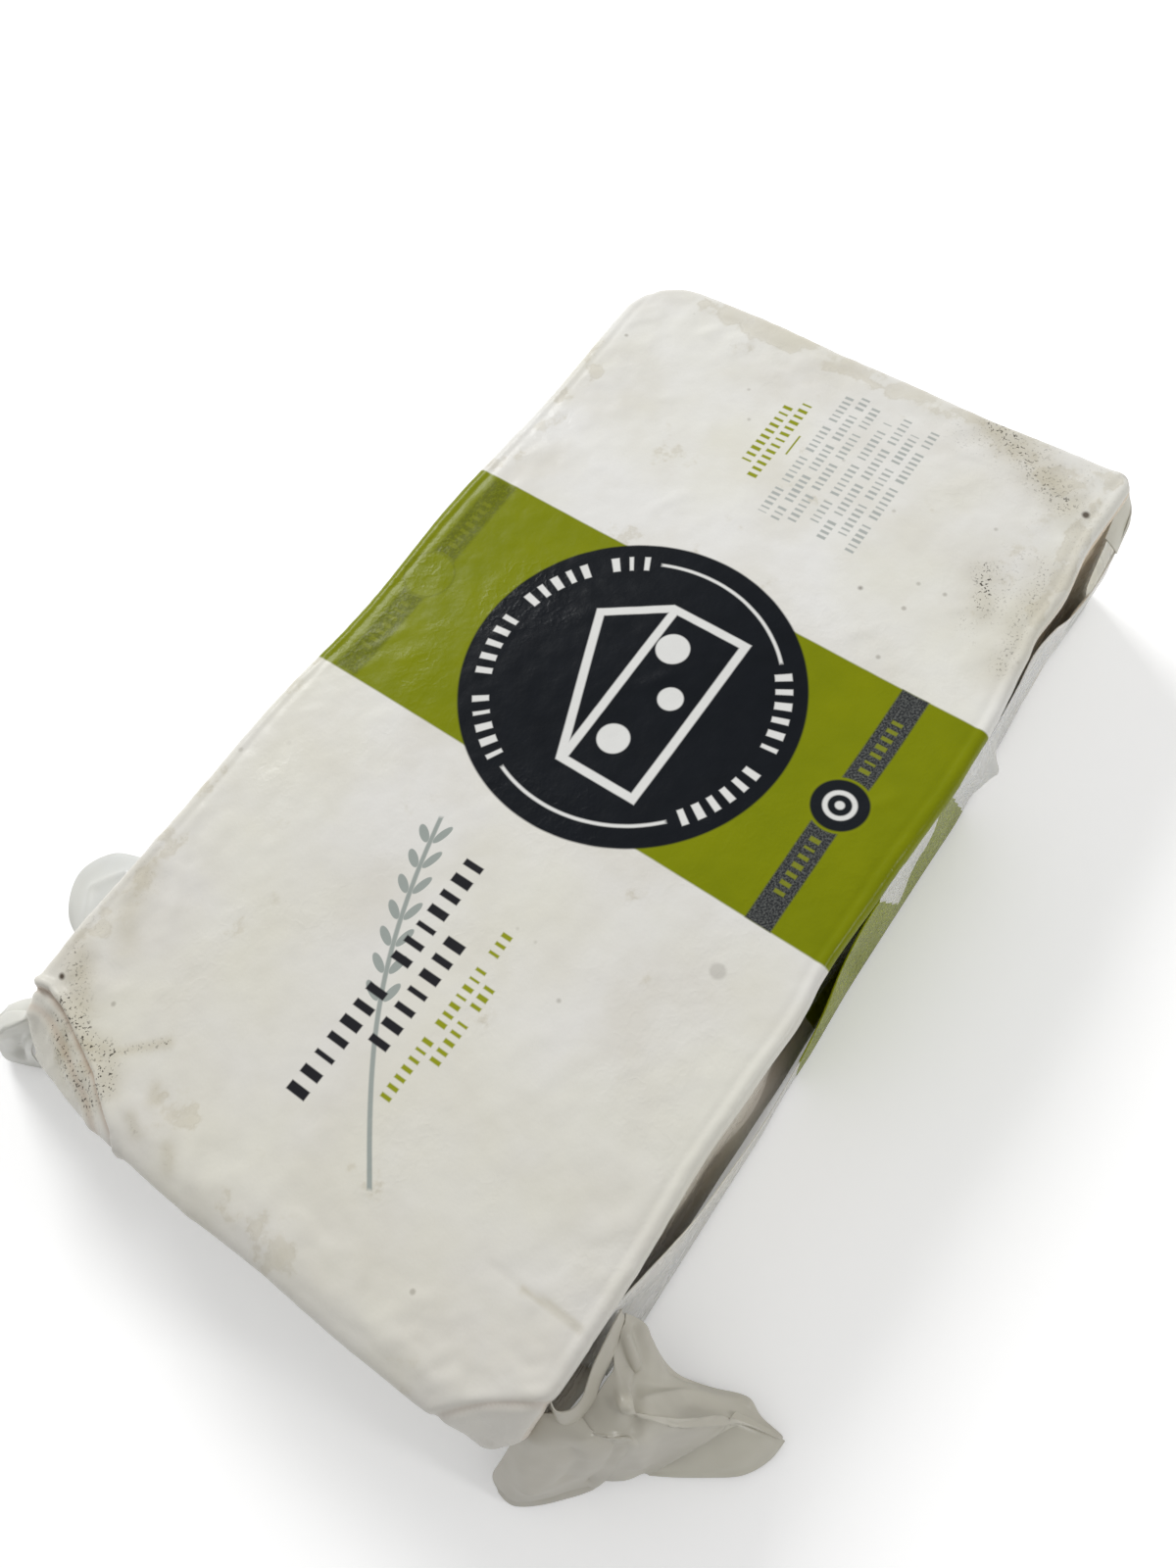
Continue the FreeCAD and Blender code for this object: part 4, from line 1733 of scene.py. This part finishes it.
@dataclass(frozen=True)
class Studio:
    """Camera, floor, lamps and backdrop.

    Attributes:
        eye: Place of the camera.
        right: Its right-hand direction.
        up: Its up direction.
        lens: Focal length in millimetres, for a sensor 36 mm long.
        floor_size: Side of the floor.
        sky: Mean brightness of the sky.
        sky_lean: How its brightness grows towards each direction.
    """

    eye: tuple = (-135.1 * MM, -129.0 * MM, 413.4 * MM)
    right: tuple = (0.5766, -0.8124, -0.0865)
    up: tuple = (0.7542, 0.4886, 0.4386)
    lens: float = 28.70
    floor_size: float = 8.0
    sky: float = 0.48
    sky_lean: tuple = (0.10, 0.18, 0.09)

    def build(self) -> None:
        """Makes everything that isn't the object."""
        self.camera()
        self.floor()
        self.lamp("key", (0.80, 1.60, 1.40), (0.0, 0.0, 0.0), 0.7, 26.0)
        self.lamp("fill", (0.35, -1.55, 0.80), (-0.05, -0.10, 0.03), 0.22, 5.0)
        self.backdrop()
        bpy.context.scene.view_settings.view_transform = "Standard"

    def camera(self) -> None:
        """Places the camera by its own axes."""
        right, up = np.array(self.right), np.array(self.up)
        back = np.cross(right, up)
        up = np.cross(back, right)
        axes = [axis / np.linalg.norm(axis) for axis in (right, up, back)]
        turn = Matrix(np.column_stack(axes).tolist()).to_4x4()
        data = bpy.data.cameras.new("camera")
        data.lens = self.lens
        data.sensor_width = 36.0
        data.clip_start = 0.01
        camera = bpy.data.objects.new("camera", data)
        bpy.context.scene.collection.objects.link(camera)
        camera.matrix_world = Matrix.Translation(self.eye) @ turn
        bpy.context.scene.camera = camera

    def floor(self) -> None:
        """Wide white floor just under the base, lit a little more to the eye far out."""
        reach = self.floor_size / 2.0
        corners = np.array([(-reach, -reach, 0), (reach, -reach, 0), (reach, reach, 0), (-reach, reach, 0)])
        mesh = bpy.data.meshes.new("floor")
        mesh.from_pydata((corners - (0.0, 0.0, 0.2 * MM)).tolist(), [], [(0, 1, 2, 3)])
        graph = Graph("floor")
        shader = graph.node("ShaderNodeBsdfDiffuse", None, {"Color": (1.0, 1.0, 1.0, 1.0)})
        seen = graph.wire(graph.node("ShaderNodeLightPath"), "Is Camera Ray")
        x, y, _ = graph.split(graph.wire(graph.node("ShaderNodeTexCoord"), "Object"))
        far = graph.math("SQRT", x * x + y * y).above(1.1, 0.5)
        lift = graph.mix(seen * (0.20 + 0.8 * far), colour(0, 0, 0), colour(255, 255, 255))
        glow = graph.node("ShaderNodeEmission", None, {"Color": lift})
        both = graph.node("ShaderNodeAddShader", None, {0: graph.wire(shader), 1: graph.wire(glow)})
        graph.node("ShaderNodeOutputMaterial", None, {"Surface": graph.wire(both)})
        mesh.materials.append(graph.material)
        floor = bpy.data.objects.new("floor", mesh)
        bpy.context.scene.collection.objects.link(floor)

    def lamp(self, name: str, place: tuple, target: tuple, size: float, power: float) -> None:
        """Adds a soft square lamp that points at a place.

        Args:
            name: Name of the lamp.
            place: Where it is.
            target: Where it points.
            size: Side of its square.
            power: Its power in watts.
        """
        data = bpy.data.lights.new(name, "AREA")
        data.size = size
        data.energy = power
        lamp = bpy.data.objects.new(name, data)
        bpy.context.scene.collection.objects.link(lamp)
        aim = np.array(target) - np.array(place)
        back = -aim / np.linalg.norm(aim)
        side = np.cross((0.0, 0.0, 1.0), back)
        side /= np.linalg.norm(side)
        axes = np.column_stack((side, np.cross(back, side), back))
        lamp.matrix_world = Matrix.Translation(place) @ Matrix(axes.tolist()).to_4x4()

    def backdrop(self) -> None:
        """World that is white to the eye, and elsewhere a fill that leans to one side."""
        world = bpy.data.worlds.new("world")
        world.use_nodes = True
        bpy.context.scene.world = world
        tree = world.node_tree
        tree.nodes.clear()
        path = tree.nodes.new("ShaderNodeLightPath")
        seen = tree.nodes.new("ShaderNodeMath")
        seen.operation = "MAXIMUM"
        tree.links.new(path.outputs["Is Camera Ray"], seen.inputs[0])
        tree.links.new(path.outputs["Is Transmission Ray"], seen.inputs[1])
        way = tree.nodes.new("ShaderNodeTexCoord")
        lean = tree.nodes.new("ShaderNodeVectorMath")
        lean.operation = "DOT_PRODUCT"
        lean.inputs[1].default_value = self.sky_lean
        tree.links.new(way.outputs["Generated"], lean.inputs[0])
        sky = tree.nodes.new("ShaderNodeMath")
        sky.operation = "ADD"
        sky.inputs[1].default_value = self.sky
        tree.links.new(lean.outputs["Value"], sky.inputs[0])
        level = tree.nodes.new("ShaderNodeMix")
        level.inputs[3].default_value = 1.0
        tree.links.new(sky.outputs[0], level.inputs[2])
        tree.links.new(seen.outputs[0], level.inputs[0])
        light = tree.nodes.new("ShaderNodeBackground")
        light.inputs["Color"].default_value = (1.0, 1.0, 1.0, 1.0)
        tree.links.new(level.outputs[0], light.inputs["Strength"])
        out = tree.nodes.new("ShaderNodeOutputWorld")
        tree.links.new(light.outputs[0], out.inputs["Surface"])


# ---------------------------------------------------------------- the making

def main() -> None:
    """Builds the studio and the pack, and reports each piece."""
    logging.basicConfig(level=logging.INFO, format="%(name)s: %(message)s")
    Studio().build()
    form = BlockForm()
    tight = FilmFinish(FilmKind.TIGHT).make()
    lit = FilmFinish(FilmKind.PLEAT, through=0.7).make()
    # Partly painted shade: the loose film is the same white film drawn darker and warmer, for its thin film
    # with no cheese behind and for the shade on the ears.
    loose = FilmFinish(
        FilmKind.LOOSE, bare=colour(198, 194, 181), dull=colour(170, 166, 150),
        roughness=0.34, gloss=0.60, printed=False,
    ).make()
    pale = FilmFinish(
        FilmKind.PALE, bare=colour(214, 218, 218), dull=colour(204, 207, 204),
        roughness=0.30, gloss=0.45, printed=False,
    ).make()
    pieces = [
        FilmSkin(form).build(tight),
        FRONT_EAR.build(loose),
        EAR_HEM.build(loose),
        EAR_LOBE.build(loose),
        EAR_POCKET.build(loose),
        BACK_EAR.build(pale),
        FAR_LOOP.build(loose),
        FrontPleat().build(form, lit),
        EndSeam(-1.0).build(form, pale),
        EndSeam(1.0).build(form, pale),
    ]
    for piece in pieces:
        LOG.info("%s: %d faces", piece.name, len(piece.data.polygons))
    bpy.context.view_layer.update()


if __name__ == "__main__":
    main()
